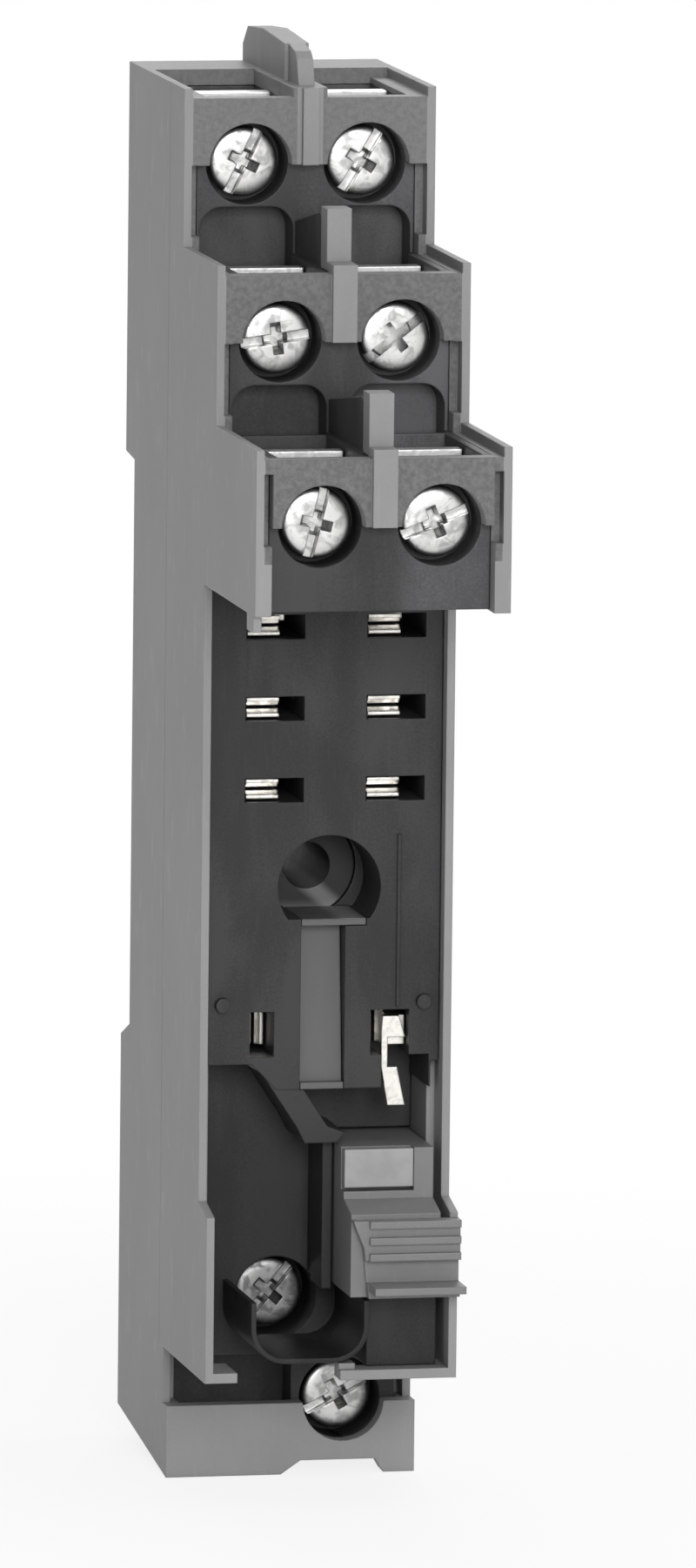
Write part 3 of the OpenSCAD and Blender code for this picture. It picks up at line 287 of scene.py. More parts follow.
class Graph:
    """Adds nodes to a shader or geometry tree."""

    def __init__(self, tree):
        self.tree = tree
        self.made = 0

    def add(self, kind, settings=None, inputs=None, out=0):
        """One node: its settings first, then the values or links of its sockets."""
        node = self.tree.nodes.new(kind)
        node.location = (-190 * (12 - self.made % 12), -230 * (self.made // 12))
        self.made += 1
        for name, value in (settings or {}).items():
            setattr(node, name, value)
        for name, value in (inputs or {}).items():
            if isinstance(value, Wire):
                self.tree.links.new(value.socket, node.inputs[name])
            else:
                node.inputs[name].default_value = value
        return Wire(self, node.outputs[out]) if node.outputs else None

    def mix(self, share, first, second, blend="MIX"):
        """A colour between two others."""
        return self.add("ShaderNodeMix", {"data_type": "RGBA", "blend_type": blend},
                        {0: share, 6: first, 7: second}, out=2)

    def vector(self, operation, *values, out=0):
        return self.add("ShaderNodeVectorMath", {"operation": operation}, dict(enumerate(values)), out)

    def rise(self, value, low, high, to_low=0.0, to_high=1.0):
        """A smooth step of a value from low to high."""
        return self.add("ShaderNodeMapRange", {"interpolation_type": "SMOOTHSTEP"},
                        {"Value": value, "From Min": low, "From Max": high,
                         "To Min": to_low, "To Max": to_high})


class Finish(Graph):
    """A material in the making. Lengths in its patterns are millimetres."""

    def __init__(self, name):
        self.material = bpy.data.materials.new(name)
        self.material.use_nodes = True
        super().__init__(self.material.node_tree)
        self.tree.nodes.clear()
        self.place = self.add("ShaderNodeTexCoord", out="Object")
        self.mm = self.add("ShaderNodeMapping", None, {"Vector": self.place, "Scale": (1 / MM, 1 / MM, 1 / MM)})

    def noise(self, size, detail=2.0, stretch=(1, 1, 1), rough=0.5, twist=0.0):
        """Noise with features of about a given size in millimetres, stretched along the axes."""
        place = self.mm
        if tuple(stretch) != (1, 1, 1):
            place = self.add("ShaderNodeMapping", None,
                             {"Vector": self.mm, "Scale": tuple(1 / s for s in stretch)})
        return self.add("ShaderNodeTexNoise", None, {"Vector": place, "Scale": 1 / size, "Detail": detail,
                                                     "Roughness": rough, "Distortion": twist})

    def edges(self, radius):
        """The rounded normal, and masks for outer edges and for inner corners."""
        round_normal = self.add("ShaderNodeBevel", {"samples": 6}, {"Radius": radius})
        flat_normal = self.add("ShaderNodeNewGeometry", out="Normal")
        agree = self.vector("DOT_PRODUCT", round_normal, flat_normal, out="Value")
        bend = self.rise(1 - agree, 0.004, 0.16)
        shelter = self.add("ShaderNodeAmbientOcclusion", {"samples": 6}, {"Distance": 0.9 * MM}, out="AO")
        open_share = self.rise(shelter, 0.55, 0.9)
        return round_normal, bend * open_share, bend * (1 - open_share), shelter

    def shine(self, **sockets):
        """The shader and the output. Names use _ for a space."""
        shader = self.add("ShaderNodeBsdfPrincipled", None,
                          {name.replace("_", " "): value for name, value in sockets.items()})
        self.add("ShaderNodeOutputMaterial", None, {"Surface": shader})
        return self.material


def grey(value):
    return (value, value, value, 1)


def toned(colour, factor):
    """A colour made lighter or darker."""
    return (*[min(1.0, channel * factor) for channel in colour[:3]], 1)


def shaded_front_panels(f):
    """Mask of the tiers' front fields beside the fin's rib, where painted shade darkens the front-facing faces,
    a little less on the top tier.
    """
    x = f.add("ShaderNodeSeparateXYZ", None, {"Vector": f.mm}, out="X")
    normal = f.add("ShaderNodeTexCoord", out="Normal")
    facing = f.add("ShaderNodeSeparateXYZ", None, {"Vector": normal}, out="Y")
    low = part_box("terminal_screw_3_left")[0].z / MM
    second_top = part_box("terminal_screw_2_left")[1].z / MM
    first_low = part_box("terminal_screw_1_left")[0].z / MM
    fade = f.rise(x.also("Z"), second_top, first_low, 1.0, 0.78)
    return x.size().between(PANEL_X[0], PANEL_X[1]) * facing.below(-0.9) * x.also("Z").over(low) * fade


def painted_cell_light(f):
    """Mask of painted light in the rooms behind the terminals: paler to the right, and on the left paler higher
    up.
    """
    x = f.add("ShaderNodeSeparateXYZ", None, {"Vector": f.mm}, out="X")
    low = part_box("terminal_screw_3_left")[0].z / MM
    lit_share = f.rise(x, 0.5, 3.5).at_least(f.rise(x.also("Z"), low - 4, low + 26, 0.05, 0.65))
    return f.rise(x.also("Z"), low - 6, low - 2) * lit_share


def painted_well_shade(f):
    """Painted shade in the well behind the deck, deepest round the bore, with a painted highlight streak across
    it.
    """
    x = f.add("ShaderNodeSeparateXYZ", None, {"Vector": f.mm}, out="X")
    inside = (x - WELL_X).size().below(WELL_HALF) * x.also("Y").below(WELL_BACK)
    depth = f.rise(x.also("Z"), WELL_SILL, WELL_SILL + 0.8, 0.62, 1.0)
    streak = ((x - WELL_X) * 0.875 + x.also("Z") + 6.74).size()
    painted_glint = f.rise(streak, 0.2, 1.1, 0.6, 0.0) * x.over(-0.6)
    return inside * x.also("Z").between(WELL_LOW, WELL_TOP) * (depth - painted_glint * depth.over(0.7))


def painted_pocket_shade(f):
    """Mask of painted shade in the deep pocket under the deck."""
    z = f.add("ShaderNodeSeparateXYZ", None, {"Vector": f.mm}, out="Z")
    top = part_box("module_case")[1].z / MM
    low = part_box("terminal_screw_coil_deep")[0].z / MM
    return f.rise(z, top - 4, top + 6, 1.0, 0.3) * f.rise(z, low - 3, low, 0.2, 1.0)


def moulded(name, colour, sizes, roughness=0.46, depth=0.006, wear_and_sheen=1.28, corner_shade=0.62, mottle=0.09, panel_shade=1.0,
            cells=1.0, pocket=1.0, well=False, gloss=0.4):
    """Moulded thermoplastic: fine spark-eroded grain, flow mottling, scuffs, edges lightened partly as scuffing
    and partly as a painted sheen, painted shade in inner corners and recesses.
    """
    f = Finish(name)
    colour = tuple(colour)
    grain = f.noise(sizes.grain / MM, 3.0, rough=0.6)
    pits = f.add("ShaderNodeTexVoronoi", {"feature": "SMOOTH_F1"},
                 {"Vector": f.mm, "Scale": 0.55 / (sizes.grain / MM), "Smoothness": 0.6})
    flow = f.noise(3.2, 3.0, stretch=(1, 1, 3.2), twist=0.6)
    cloud = f.noise(9.0, 2.0, stretch=(1, 1, 1.6))
    round_normal, edge_wear_and_sheen, corner, shelter = f.edges(sizes.edge_round)
    scuff = f.rise(f.noise(0.9, 4.0, stretch=(0.35, 1, 2.6)), 0.56, 0.72)
    tone = (flow - 0.5) * (2 * mottle) + (cloud - 0.5) * (2 * mottle) + (grain - 0.5) * (1.2 * mottle)
    base = f.mix(f.rise(tone, -0.12, 0.12), toned(colour, 1 - mottle), toned(colour, 1 + mottle))
    # Edges turn lighter: partly scuffing, partly a painted sheen along them.
    base = f.mix(edge_wear_and_sheen * (0.55 + 0.45 * scuff), base, toned(colour, wear_and_sheen))
    # Painted shade: inner corners and sheltered recesses turn darker.
    base = f.mix((corner * 0.6).at_least(f.rise(shelter, 0.2, 0.75, 0.5, 0.0)), base, toned(colour, corner_shade))
    base = f.mix(scuff * 0.16, base, toned(colour, wear_and_sheen))
    # Painted shade on the tiers' front fields, with a fine etch speck in colour and bump.
    if panel_shade != 1.0:
        etched_and_shaded = shaded_front_panels(f)
        speck = f.rise(f.noise(0.34, 3.0, rough=0.7), 0.32, 0.68)
        base = f.mix(etched_and_shaded, base, f.mix(speck, toned(colour, panel_shade * 0.82), toned(colour, panel_shade * 1.18)))
        grain = grain + etched_and_shaded * speck * 0.8
    # Painted light: the carrier turns paler in the terminal rooms, most on the right, where the light falls.
    if cells != 1.0:
        paler = f.mix(1.0, base, grey(cells), "MULTIPLY")
        base = f.mix(painted_cell_light(f) * (0.75 + 0.5 * (cloud - 0.5)), base, paler)
    # Painted shade darkens the carrier in the deep pocket under the module.
    if pocket != 1.0:
        base = f.mix(painted_pocket_shade(f), base, f.mix(1.0, base, grey(pocket), "MULTIPLY"))
    # Painted shade in the mounting well, broken by a painted glint streak.
    if well:
        base = f.mix(painted_well_shade(f), base, toned(colour, 0.1))
    rough = roughness + (flow - 0.5) * 0.12 + (grain - 0.5) * 0.10 - edge_wear_and_sheen * 0.12 - scuff * 0.05
    height = grain * 0.6 + pits * 0.5 + flow * 0.25
    bump = f.add("ShaderNodeBump", None, {"Strength": 0.55, "Distance": depth * MM, "Height": height,
                                          "Normal": round_normal})
    return f.shine(Base_Color=base, Roughness=rough, Normal=bump, IOR=1.5, Specular_IOR_Level=gloss)


def plated(name, colour, sizes, roughness=0.3, depth=0.004, stretch=(1, 1, 1), tarnish=0.5, rings=False,
           shade=(0.1, 0.5)):
    """Plated steel or brass: rolled or turned marks, blotchy plating, edges lightened partly as scuffing and
    partly as a painted sheen, painted shade in inner corners and sheltered places.
    """
    f = Finish(name)
    colour = tuple(colour)
    lines = f.noise(0.10, 3.0, stretch=stretch, rough=0.65)
    blotch = f.noise(0.75, 4.0, twist=0.8)
    haze = f.noise(2.6, 2.0)
    round_normal, edge_wear_and_sheen, corner, shelter = f.edges(sizes.edge_round * 0.8)
    height = lines * 0.8 + blotch * 0.5
    if rings:
        reach = f.add("ShaderNodeAttribute", {"attribute_name": "reach"}, out="Fac")
        height = height + (reach * (2 * math.pi / 0.11)).sine() * 0.12
    dull = f.rise(blotch, 0.42, 0.66)
    base = f.mix(dull * 0.55 + 0.2 * haze, toned(colour, 1.12), toned(colour, tarnish))
    # Edges turn lighter: partly scuffing, partly a painted sheen.
    base = f.mix(edge_wear_and_sheen * 0.8, base, toned(colour, 1.22))
    # Painted shade: inner corners and sheltered places turn darker.
    sheltered = (corner * 0.7).at_least(f.rise(shelter, shade[0], shade[1], 0.85, 0.0))
    base = f.mix(sheltered, base, toned(colour, 0.2))
    rough = roughness + dull * 0.16 + (lines - 0.5) * 0.16 - edge_wear_and_sheen * 0.08
    bump = f.add("ShaderNodeBump", None, {"Strength": 0.6, "Distance": depth * MM, "Height": height,
                                          "Normal": round_normal})
    return f.shine(Base_Color=base, Roughness=rough, Normal=bump, Metallic=1.0)


def frosted(name, colour, sizes):
    """Translucent moulded window with a fine frost, edges painted lighter as a polished sheen, and painted
    shade in its inner corners.
    """
    f = Finish(name)
    colour = tuple(colour)
    frost = f.noise(0.12, 3.0)
    cloud = f.noise(1.4, 2.0)
    round_normal, edge_wear_and_sheen, corner, _ = f.edges(sizes.edge_round)
    base = f.mix(f.rise(cloud, 0.3, 0.7), toned(colour, 0.92), toned(colour, 1.08))
    # Edges painted lighter as a sheen.
    base = f.mix(edge_wear_and_sheen * 0.8, base, toned(colour, 1.25))
    # Painted shade in inner corners.
    base = f.mix(corner * 0.6, base, toned(colour, 0.6))
    bump = f.add("ShaderNodeBump", None, {"Strength": 0.4, "Distance": 0.004 * MM, "Height": frost,
                                          "Normal": round_normal})
    return f.shine(Base_Color=base, Roughness=0.34 + (frost - 0.5) * 0.2, Normal=bump, IOR=1.58,
                   Coat_Weight=0.25, Coat_Roughness=0.2)


def circuit_board(name, colour):
    """Solder-masked board with copper tracks under the mask."""
    f = Finish(name)
    colour = tuple(colour)
    weave = f.add("ShaderNodeTexWave", {"wave_type": "BANDS", "bands_direction": "Z"},
                  {"Vector": f.mm, "Scale": 0.5, "Distortion": 2.0, "Detail": 1.0, "Detail Scale": 0.4})
    track = f.rise(weave, 0.55, 0.62)
    speck = f.noise(0.3, 3.0)
    base = f.mix(track * 0.6, colour, toned(colour, 1.7))
    base = f.mix(f.rise(speck, 0.5, 0.7) * 0.3, base, toned(colour, 0.7))
    bump = f.add("ShaderNodeBump", None,
                 {"Strength": 0.5, "Distance": 0.02 * MM, "Height": track + speck * 0.2})
    return f.shine(Base_Color=base, Roughness=0.3 + speck * 0.15, Normal=bump, IOR=1.5)


def banded(name, body, band, bands, gloss=0.35):
    """Lacquered component body, lying along the depth, with painted rings at given depths."""
    f = Finish(name)
    depth = f.add("ShaderNodeSeparateXYZ", None, {"Vector": f.mm}, out="Y")
    speck = f.noise(0.25, 3.0)
    ring = 0.0
    for place, half in bands:
        near = f.rise((depth + place).size(), half, half * 1.15, 1.0, 0.0)
        ring = near if isinstance(ring, float) else ring.at_least(near)
    base = f.mix(f.rise(speck, 0.35, 0.7), toned(body, 0.85), toned(body, 1.12))
    base = f.mix(ring, base, band)
    bump = f.add("ShaderNodeBump", None, {"Strength": 0.3, "Distance": 0.01 * MM, "Height": speck})
    return f.shine(Base_Color=base, Roughness=gloss + speck * 0.15, Normal=bump, IOR=1.5)


def cast_lamp(name, colour):
    """Tinted epoxy lamp with a soft core."""
    f = Finish(name)
    colour = tuple(colour)
    cloud = f.noise(0.8, 2.0)
    base = f.mix(f.rise(cloud, 0.3, 0.7), toned(colour, 0.85), toned(colour, 1.15))
    bump = f.add("ShaderNodeBump", None, {"Strength": 0.2, "Distance": 0.01 * MM, "Height": cloud})
    return f.shine(Base_Color=base, Roughness=0.16 + cloud * 0.1, Normal=bump, IOR=1.55, Coat_Weight=0.5)


def put_on(node, material):
    """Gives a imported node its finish."""
    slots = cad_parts[node].material_slots
    for slot in slots:
        slot.material = material
    if not slots:
        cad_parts[node].data.materials.append(material)


# ---- Pieces ---------------------------------------------------------------------------------------


class RELAYSOCKET_OT_mouldings(bpy.types.Operator):
    """Finishes the shell, the base, the contact carrier and the rail clip"""

    bl_idname = "relay_socket.mouldings"
    bl_label = "Finish mouldings"

    def execute(self, context):
        colours, sizes = context.scene.relay_colours, context.scene.relay_sizes
        # The shell gets painted shade on its front fields and in the screw well; the carrier gets painted light
        # in its terminal rooms and painted shade in its pocket and corners.
        shell = moulded("shell_plastic", colours.shell, sizes, roughness=0.52, panel_shade=0.53, well=True,
                        gloss=0.22)
        carrier = moulded("carrier_plastic", colours.carrier, sizes, roughness=0.46, wear_and_sheen=1.6, corner_shade=0.5,
                          mottle=0.26, cells=3.0, pocket=0.55, gloss=0.2)
        clip = moulded("clip_plastic", colours.clip, sizes, roughness=0.4, wear_and_sheen=1.5)
        for node in ("rear_base", "front_housing"):
            put_on(node, shell)
        put_on("contact_carrier", carrier)
        put_on("rail_clip", clip)
        return {"FINISHED"}


class RELAYSOCKET_OT_metalwork(bpy.types.Operator):
    """Finishes the box clamps, the contact strips and the rail clip's spring"""

    bl_idname = "relay_socket.metalwork"
    bl_label = "Finish metalwork"

    def execute(self, context):
        colours, sizes = context.scene.relay_colours, context.scene.relay_sizes
        clamp = plated("clamp_plating", colours.clamp, sizes, roughness=0.34, stretch=(4, 1, 1))
        contact = plated("contact_plating", colours.contact, sizes, roughness=0.3, stretch=(1, 5, 5))
        spring = plated("spring_steel", colours.spring, sizes, roughness=0.28, stretch=(6, 1, 1), tarnish=0.6)
        for place in PLACES:
            put_on("box_clamp_" + place, clamp)
            put_on("contact_strip_" + place, contact)
        put_on("rail_clip_spring", spring)
        put_on("module_blades", contact)
        return {"FINISHED"}


def screw_tree():
    """Geometry nodes for one terminal screw: crowned head, slot and cross recess, turned thread."""
    tree = bpy.data.node_groups.new("terminal_screw_shape", "GeometryNodeTree")
    face = tree.interface
    face.new_socket("Geometry", in_out="OUTPUT", socket_type="NodeSocketGeometry")
    for name in ("Head radius", "Head height", "Shank radius", "Length", "Thread pitch", "Thread depth",
                 "Slot width", "Slot depth", "Cross width", "Cross reach", "Cross depth", "Turn"):
        face.new_socket(name, in_out="INPUT", socket_type="NodeSocketFloat")
    face.new_socket("Centre", in_out="INPUT", socket_type="NodeSocketVector")
    face.new_socket("Finish", in_out="INPUT", socket_type="NodeSocketMaterial")
    g = Graph(tree)
    given = g.add("NodeGroupInput")

    def size(name):
        return given.also(name)

    def turned(rows, columns, radius_and_depth):
        """A closed body turned round the depth axis, from a function of the row and column shares."""
        sheet = g.add("GeometryNodeMeshGrid", None,
                      {"Size X": 1.0, "Size Y": 1.0, "Vertices X": rows, "Vertices Y": columns + 1})
        at = g.add("GeometryNodeInputPosition")
        split = g.add("ShaderNodeSeparateXYZ", None, {"Vector": at}, out="X")
        row, column = split + 0.5, split.also("Y") + 0.5
        radius, depth = radius_and_depth(row, column)
        angle = column * (2 * math.pi)
        place = g.add("ShaderNodeCombineXYZ", None,
                      {"X": radius * angle.cosine(), "Y": depth, "Z": radius * angle.sine()})
        body = g.add("GeometryNodeSetPosition", None, {"Geometry": sheet, "Position": place})
        return g.add("GeometryNodeMergeByDistance", None, {"Geometry": body, "Distance": 0.002 * MM})

    def head(row, column):
        turn = row * math.pi
        flat = 2 / 7
        radius = size("Head radius") * (turn.sine().size() ** flat)
        share = turn.cosine().sign() * (turn.cosine().size() ** flat)
        return radius, size("Head height") * (0.5 - 0.5 * share)

    def shank(row, column):
        start = size("Head height") - 0.1 * MM
        depth = start + (size("Length") - start) * row
        phase = (depth / size("Thread pitch") + column).fraction()
        tooth = (phase - 0.5).size() * 2
        ended = row.below(0.002).at_least(row.over(0.998))
        tip = ((size("Length") - depth) / (0.5 * MM) * 0.35 + 0.65).at_most(1.0)
        radius = (size("Shank radius") - size("Thread depth") * tooth) * tip * (1 - ended)
        return radius, depth

    def cutter(width, reach, depth, taper):
        box = g.add("GeometryNodeMeshCube", None, {
            "Size": g.add("ShaderNodeCombineXYZ", None, {"X": reach * 2, "Y": depth * 2, "Z": width})})
        at = g.add("GeometryNodeInputPosition")
        split = g.add("ShaderNodeSeparateXYZ", None, {"Vector": at}, out="X")
        narrow = 1 - split.also("Y").over(0.0) * taper
        place = g.add("ShaderNodeCombineXYZ", None,
                      {"X": split * narrow, "Y": split.also("Y"),
                       "Z": split.also("Z") * (1 - (1 - narrow) * 0.5)})
        return g.add("GeometryNodeSetPosition", None, {"Geometry": box, "Position": place})

    def facing(piece, extra=0.0):
        turn = g.add("ShaderNodeCombineXYZ", None, {"Y": size("Turn") + extra})
        return g.add("GeometryNodeTransform", None, {"Geometry": piece, "Rotation": turn})

    whole_slot = cutter(size("Slot width"), size("Head radius") * 1.2, size("Slot depth"), 0.0)
    arm = cutter(size("Cross width"), size("Cross reach"), size("Cross depth"), 0.55)
    drive = g.add("GeometryNodeMeshBoolean", {"operation": "UNION", "solver": "EXACT"},
                  {"Mesh 2": facing(arm)})
    for piece in (facing(arm, math.pi / 2), facing(whole_slot)):
        tree.links.new(piece.socket, drive.socket.node.inputs["Mesh 2"])
    solid_head = g.add("GeometryNodeMeshBoolean", {"operation": "DIFFERENCE", "solver": "EXACT"},
                       {"Mesh 1": turned(41, 64, head), "Mesh 2": drive})
    joined = g.add("GeometryNodeJoinGeometry", None, {"Geometry": turned(200, 36, shank)})
    tree.links.new(solid_head.socket, joined.socket.node.inputs["Geometry"])
    at = g.add("GeometryNodeInputPosition")
    split = g.add("ShaderNodeSeparateXYZ", None, {"Vector": at}, out="X")
    reach = (split * split + split.also("Z") * split.also("Z")).root() / MM
    marked = g.add("GeometryNodeStoreNamedAttribute", {"data_type": "FLOAT", "domain": "POINT"},
                   {"Geometry": joined, "Name": "reach", "Value": reach})
    placed = g.add("GeometryNodeTransform", None, {"Geometry": marked, "Translation": size("Centre")})
    real = g.add("GeometryNodeRealizeInstances", None, {"Geometry": placed})
    coated = g.add("GeometryNodeSetMaterial", None, {"Geometry": real, "Material": size("Finish")})
    g.add("NodeGroupOutput", None, {"Geometry": coated})
    return tree


def grown(name, tree, values):
    """The plain mesh that a geometry tree makes, as an object at the origin."""
    seed = bpy.data.objects.new(name + "_seed", bpy.data.meshes.new(name + "_seed"))
    bpy.context.scene.collection.objects.link(seed)
    modifier = seed.modifiers.new("shape", "NODES")
    modifier.node_group = tree
    sockets = {s.name: s.identifier for s in tree.interface.items_tree if s.in_out == "INPUT"}
    for key, value in values.items():
        modifier[sockets[key]] = value
    bpy.context.view_layer.update()
    graph = bpy.context.evaluated_depsgraph_get()
    mesh = bpy.data.meshes.new_from_object(seed.evaluated_get(graph), depsgraph=graph)
    mesh.name = name
    seed.modifiers.remove(modifier)
    bpy.data.objects.remove(seed)
    if not mesh.polygons:
        raise RuntimeError(name + " came out empty")
    piece = bpy.data.objects.new(name, mesh)
    bpy.context.scene.collection.objects.link(piece)
    return piece


def smooth_by_angle(mesh, degrees):
    """Shades smooth, and keeps edges sharper than an angle."""
    work = bmesh.new()
    work.from_mesh(mesh)
    bmesh.ops.recalc_face_normals(work, faces=work.faces)
    limit = math.radians(degrees)
    for edge in work.edges:
        edge.smooth = len(edge.link_faces) == 2 and edge.calc_face_angle(0) < limit
    for side in work.faces:
        side.smooth = True
    work.to_mesh(mesh)
    work.free()


class RELAYSOCKET_OT_screws(bpy.types.Operator):
    """Builds the eight terminal screws with their drives and threads"""

    bl_idname = "relay_socket.screws"
    bl_label = "Build terminal screws"

    def execute(self, context):
        colours, sizes = context.scene.relay_colours, context.scene.relay_sizes
        bright = plated("screw_plating", colours.screw, sizes, roughness=0.3, depth=0.01, tarnish=0.3,
                        rings=True)
        # A darker, shaded copy of the plating for the deep coil screw: painted shade.
        shaded_plating = plated("screw_plating_dulled", toned(colours.screw, 0.5), sizes, roughness=0.36, depth=0.012,
                        tarnish=0.12, rings=True)
        tree = screw_tree()
        for place, turn in zip(PLACES, DRIVE_TURNS):
            node = "terminal_screw_" + place
            low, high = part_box(node)
            piece = grown("screw_" + place, tree, {
                "Head radius": sizes.head_radius, "Head height": sizes.head_height,
                "Shank radius": sizes.shank_radius, "Length": sizes.screw_length,
                "Thread pitch": sizes.thread_pitch, "Thread depth": sizes.thread_depth,
                "Slot width": sizes.slot_width, "Slot depth": sizes.slot_depth,
                "Cross width": sizes.cross_width, "Cross reach": sizes.cross_reach,
                "Cross depth": sizes.cross_depth, "Turn": math.radians(-turn),
                "Centre": ((low.x + high.x) / 2, low.y, (low.z + high.z) / 2),
                "Finish": shaded_plating if place == "coil_deep" else bright})
            smooth_by_angle(piece.data, 35)
            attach(piece, "screw_" + place)
            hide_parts(node)
        return {"FINISHED"}


class RELAYSOCKET_OT_module(bpy.types.Operator):
    """Finishes the plug-in module, its window and what it holds"""

    bl_idname = "relay_socket.module"
    bl_label = "Finish plug-in module"

    def execute(self, context):
        colours, sizes = context.scene.relay_colours, context.scene.relay_sizes
        put_on("module_case", moulded("module_plastic", colours.module, sizes, wear_and_sheen=1.35))
        put_on("module_base", moulded("module_base_plastic", colours.clip, sizes, wear_and_sheen=1.5))
        put_on("module_window", frosted("module_window_frost", colours.window, sizes))
        put_on("module_board", circuit_board("module_board_mask", colours.board))
        put_on("module_lamp", cast_lamp("module_lamp_resin", colours.lamp))
        low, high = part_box("module_resistor")
        middle = -(low.y + high.y) / 2 / MM
        put_on("module_resistor", banded(
            "module_resistor_lacquer", (0.42, 0.30, 0.18, 1), (0.10, 0.05, 0.03, 1),
            [(middle - 0.9, 0.16), (middle - 0.3, 0.16), (middle + 0.3, 0.16), (middle + 1.0, 0.16)]))
        low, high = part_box("module_diode")
        middle = -(low.y + high.y) / 2 / MM
        put_on("module_diode", banded(
            "module_diode_lacquer", (0.018, 0.018, 0.02, 1), (0.6, 0.6, 0.6, 1), [(middle + 0.8, 0.2)]))
        return {"FINISHED"}


# ---- Stage ----------------------------------------------------------------------------------------


def pale_floor(radius, height):
    """A round white floor that keeps the soft shadow under the object."""
    mesh = bpy.data.meshes.new("floor")
    work = bmesh.new()
    bmesh.ops.create_circle(work, cap_ends=True, segments=96, radius=radius)
    bmesh.ops.translate(work, verts=work.verts, vec=(0, 0, height))
    work.to_mesh(mesh)
    work.free()
    floor = bpy.data.objects.new("floor", mesh)
    bpy.context.scene.collection.objects.link(floor)
    f = Finish("floor_white")
    ray = f.add("ShaderNodeLightPath", out="Is Camera Ray")
    seen = ray.at_least(ray.also("Is Glossy Ray")).at_least(ray.also("Is Transmission Ray"))
    away = f.vector("LENGTH", f.vector("MULTIPLY", f.place, (1, 1, 0)), out="Value")
    share = f.rise(away, 0.03, 0.12, 0.84, 1.0) * seen
    matt = f.add("ShaderNodeBsdfDiffuse", None, {"Color": grey(0.92)})
    white = f.add("ShaderNodeEmission", None, {"Color": grey(1.0), "Strength": 1.0})
    both = f.add("ShaderNodeMixShader", None, {0: share, 1: matt, 2: white})
    clear = f.add("ShaderNodeBsdfTransparent")
    back = f.add("ShaderNodeNewGeometry", out="Backfacing")
    through = f.add("ShaderNodeMixShader", None, {0: back, 1: both, 2: clear})
    f.add("ShaderNodeOutputMaterial", None, {"Surface": through})
    mesh.materials.append(f.material)


def studio_world(ambient):
    """White where the camera looks, an even soft light elsewhere."""
    world = bpy.data.worlds.new("studio")
    world.use_nodes = True
    bpy.context.scene.world = world
    world.node_tree.nodes.clear()
    w = Graph(world.node_tree)
    ray = w.add("ShaderNodeLightPath", out="Is Camera Ray")
    look = w.add("ShaderNodeTexCoord", out="Generated")
    depth = w.add("ShaderNodeSeparateXYZ", None, {"Vector": look}, out="Y")
    glossy = w.rise(depth, -0.2, 0.5, 0.5, 1.0) * ray.also("Is Glossy Ray")
    seen = ray.at_least(ray.also("Is Transmission Ray")).at_least(glossy)
    strength = seen.at_least(ambient)
    light = w.add("ShaderNodeBackground", None, {"Color": grey(1.0), "Strength": strength})
    w.add("ShaderNodeOutputWorld", None, {"Surface": light})


def soft_lamp(name, side, height, distance, width, power):
    """A square lamp at angles round the object, aimed at its middle."""
    data = bpy.data.lights.new(name, "AREA")
    data.size = width
    data.energy = power
    lamp = bpy.data.objects.new(name, data)
    bpy.context.scene.collection.objects.link(lamp)
    toward = Vector((-math.sin(side) * math.cos(height), -math.cos(side) * math.cos(height), math.sin(height)))
    lamp.location = toward * distance + Vector((0, -20 * MM, 0))
    lamp.rotation_mode = "QUATERNION"
    lamp.rotation_quaternion = (-toward).to_track_quat("-Z", "Y")


def stage_camera(stage):
    """The camera, from its angles, distance and target."""
    side, height, roll = stage.side, stage.height, stage.roll
    ahead = Vector((math.sin(side) * math.cos(height), math.cos(side) * math.cos(height), -math.sin(height)))
    right = Vector((math.cos(side), -math.sin(side), 0))
    above = right.cross(ahead)
    x_axis = right * math.cos(roll) - above * math.sin(roll)
    y_axis = right * math.sin(roll) + above * math.cos(roll)
    data = bpy.data.cameras.new("camera")
    data.lens, data.sensor_width = stage.lens, 36
    data.clip_start, data.clip_end = 0.05, 100
    camera = bpy.data.objects.new("camera", data)
    bpy.context.scene.collection.objects.link(camera)
    turn = Matrix((x_axis, y_axis, -ahead)).transposed().to_4x4()
    camera.matrix_world = Matrix.Translation(Vector(stage.target) - ahead * stage.distance) @ turn
    bpy.context.scene.camera = camera


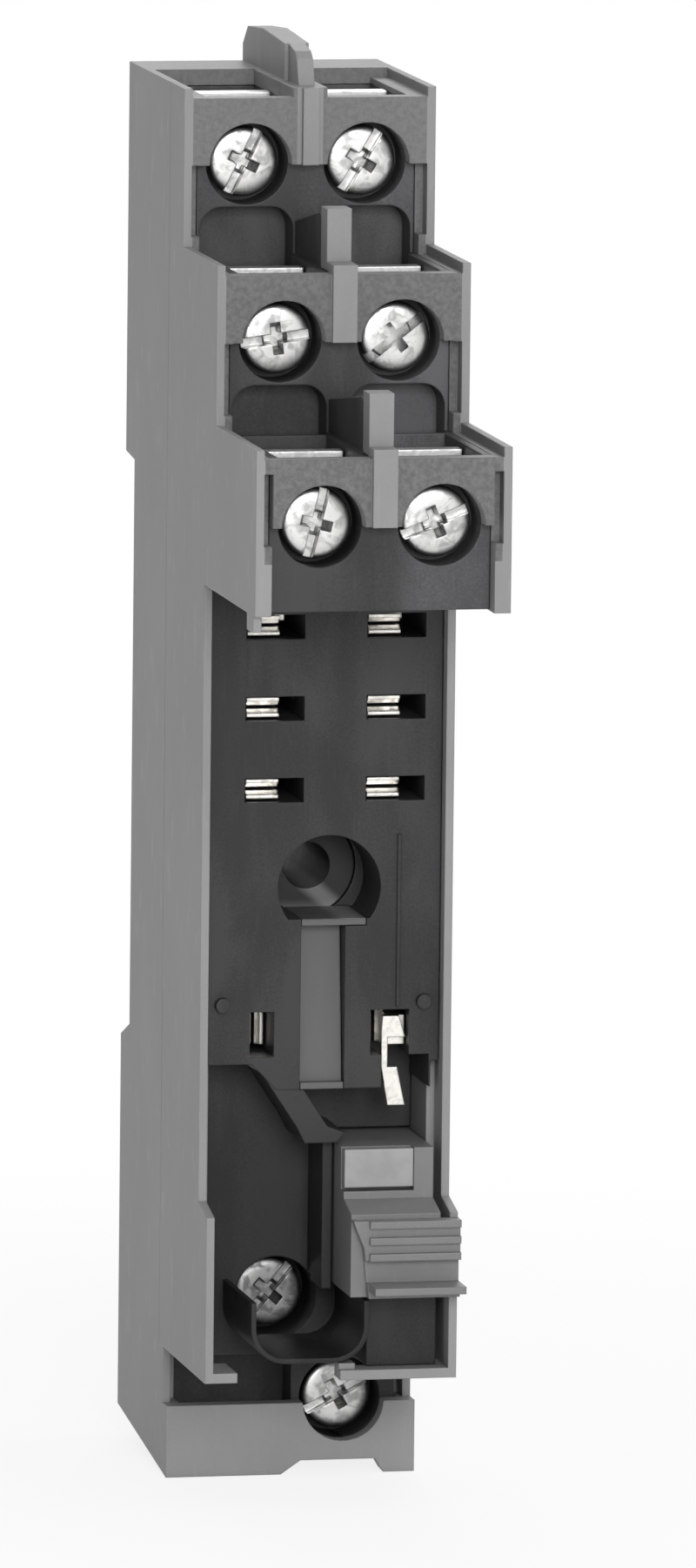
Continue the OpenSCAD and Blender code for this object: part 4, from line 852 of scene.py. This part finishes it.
class RELAYSOCKET_OT_stage(bpy.types.Operator):
    """Sets up the floor, the lamps, the world and the camera"""

    bl_idname = "relay_socket.stage"
    bl_label = "Set up stage"

    def execute(self, context):
        stage = context.scene.relay_stage
        pale_floor(stage.floor_radius, CAD_BOUNDS[0][2] - 0.05 * MM)
        studio_world(stage.ambient)
        for name, side, height, width, power in LAMPS:
            soft_lamp(name, math.radians(side), math.radians(height), LAMP_DISTANCE, width,
                      getattr(stage, power))
        stage_camera(stage)
        context.scene.view_settings.view_transform = "Standard"
        return {"FINISHED"}


# ---- Panel and registration -----------------------------------------------------------------------


class RELAYSOCKET_PT_panel(bpy.types.Panel):
    """Sizes, colours and steps of the relay socket"""

    bl_idname = "RELAYSOCKET_PT_panel"
    bl_label = "Relay socket"
    bl_space_type = "VIEW_3D"
    bl_region_type = "UI"
    bl_category = "Relay socket"

    def draw(self, context):
        for group in (context.scene.relay_colours, context.scene.relay_sizes, context.scene.relay_stage):
            box = self.layout.box()
            for name in group.bl_rna.properties.keys():
                if name not in ("rna_type", "name"):
                    box.prop(group, name)
        for step in STEPS:
            self.layout.operator(step.bl_idname)


STEPS = (RELAYSOCKET_OT_mouldings, RELAYSOCKET_OT_metalwork, RELAYSOCKET_OT_screws, RELAYSOCKET_OT_module,
         RELAYSOCKET_OT_stage)
CLASSES = (SocketColours, SocketSizes, SocketStage, *STEPS, RELAYSOCKET_PT_panel)


def register():
    for each in CLASSES:
        bpy.utils.register_class(each)
    bpy.types.Scene.relay_colours = PointerProperty(type=SocketColours)
    bpy.types.Scene.relay_sizes = PointerProperty(type=SocketSizes)
    bpy.types.Scene.relay_stage = PointerProperty(type=SocketStage)


def unregister():
    del bpy.types.Scene.relay_stage
    del bpy.types.Scene.relay_sizes
    del bpy.types.Scene.relay_colours
    for each in reversed(CLASSES):
        bpy.utils.unregister_class(each)


def main():
    register()
    for step in STEPS:
        group, name = step.bl_idname.split(".")
        getattr(getattr(bpy.ops, group), name)()


if __name__ == "__main__":
    main()
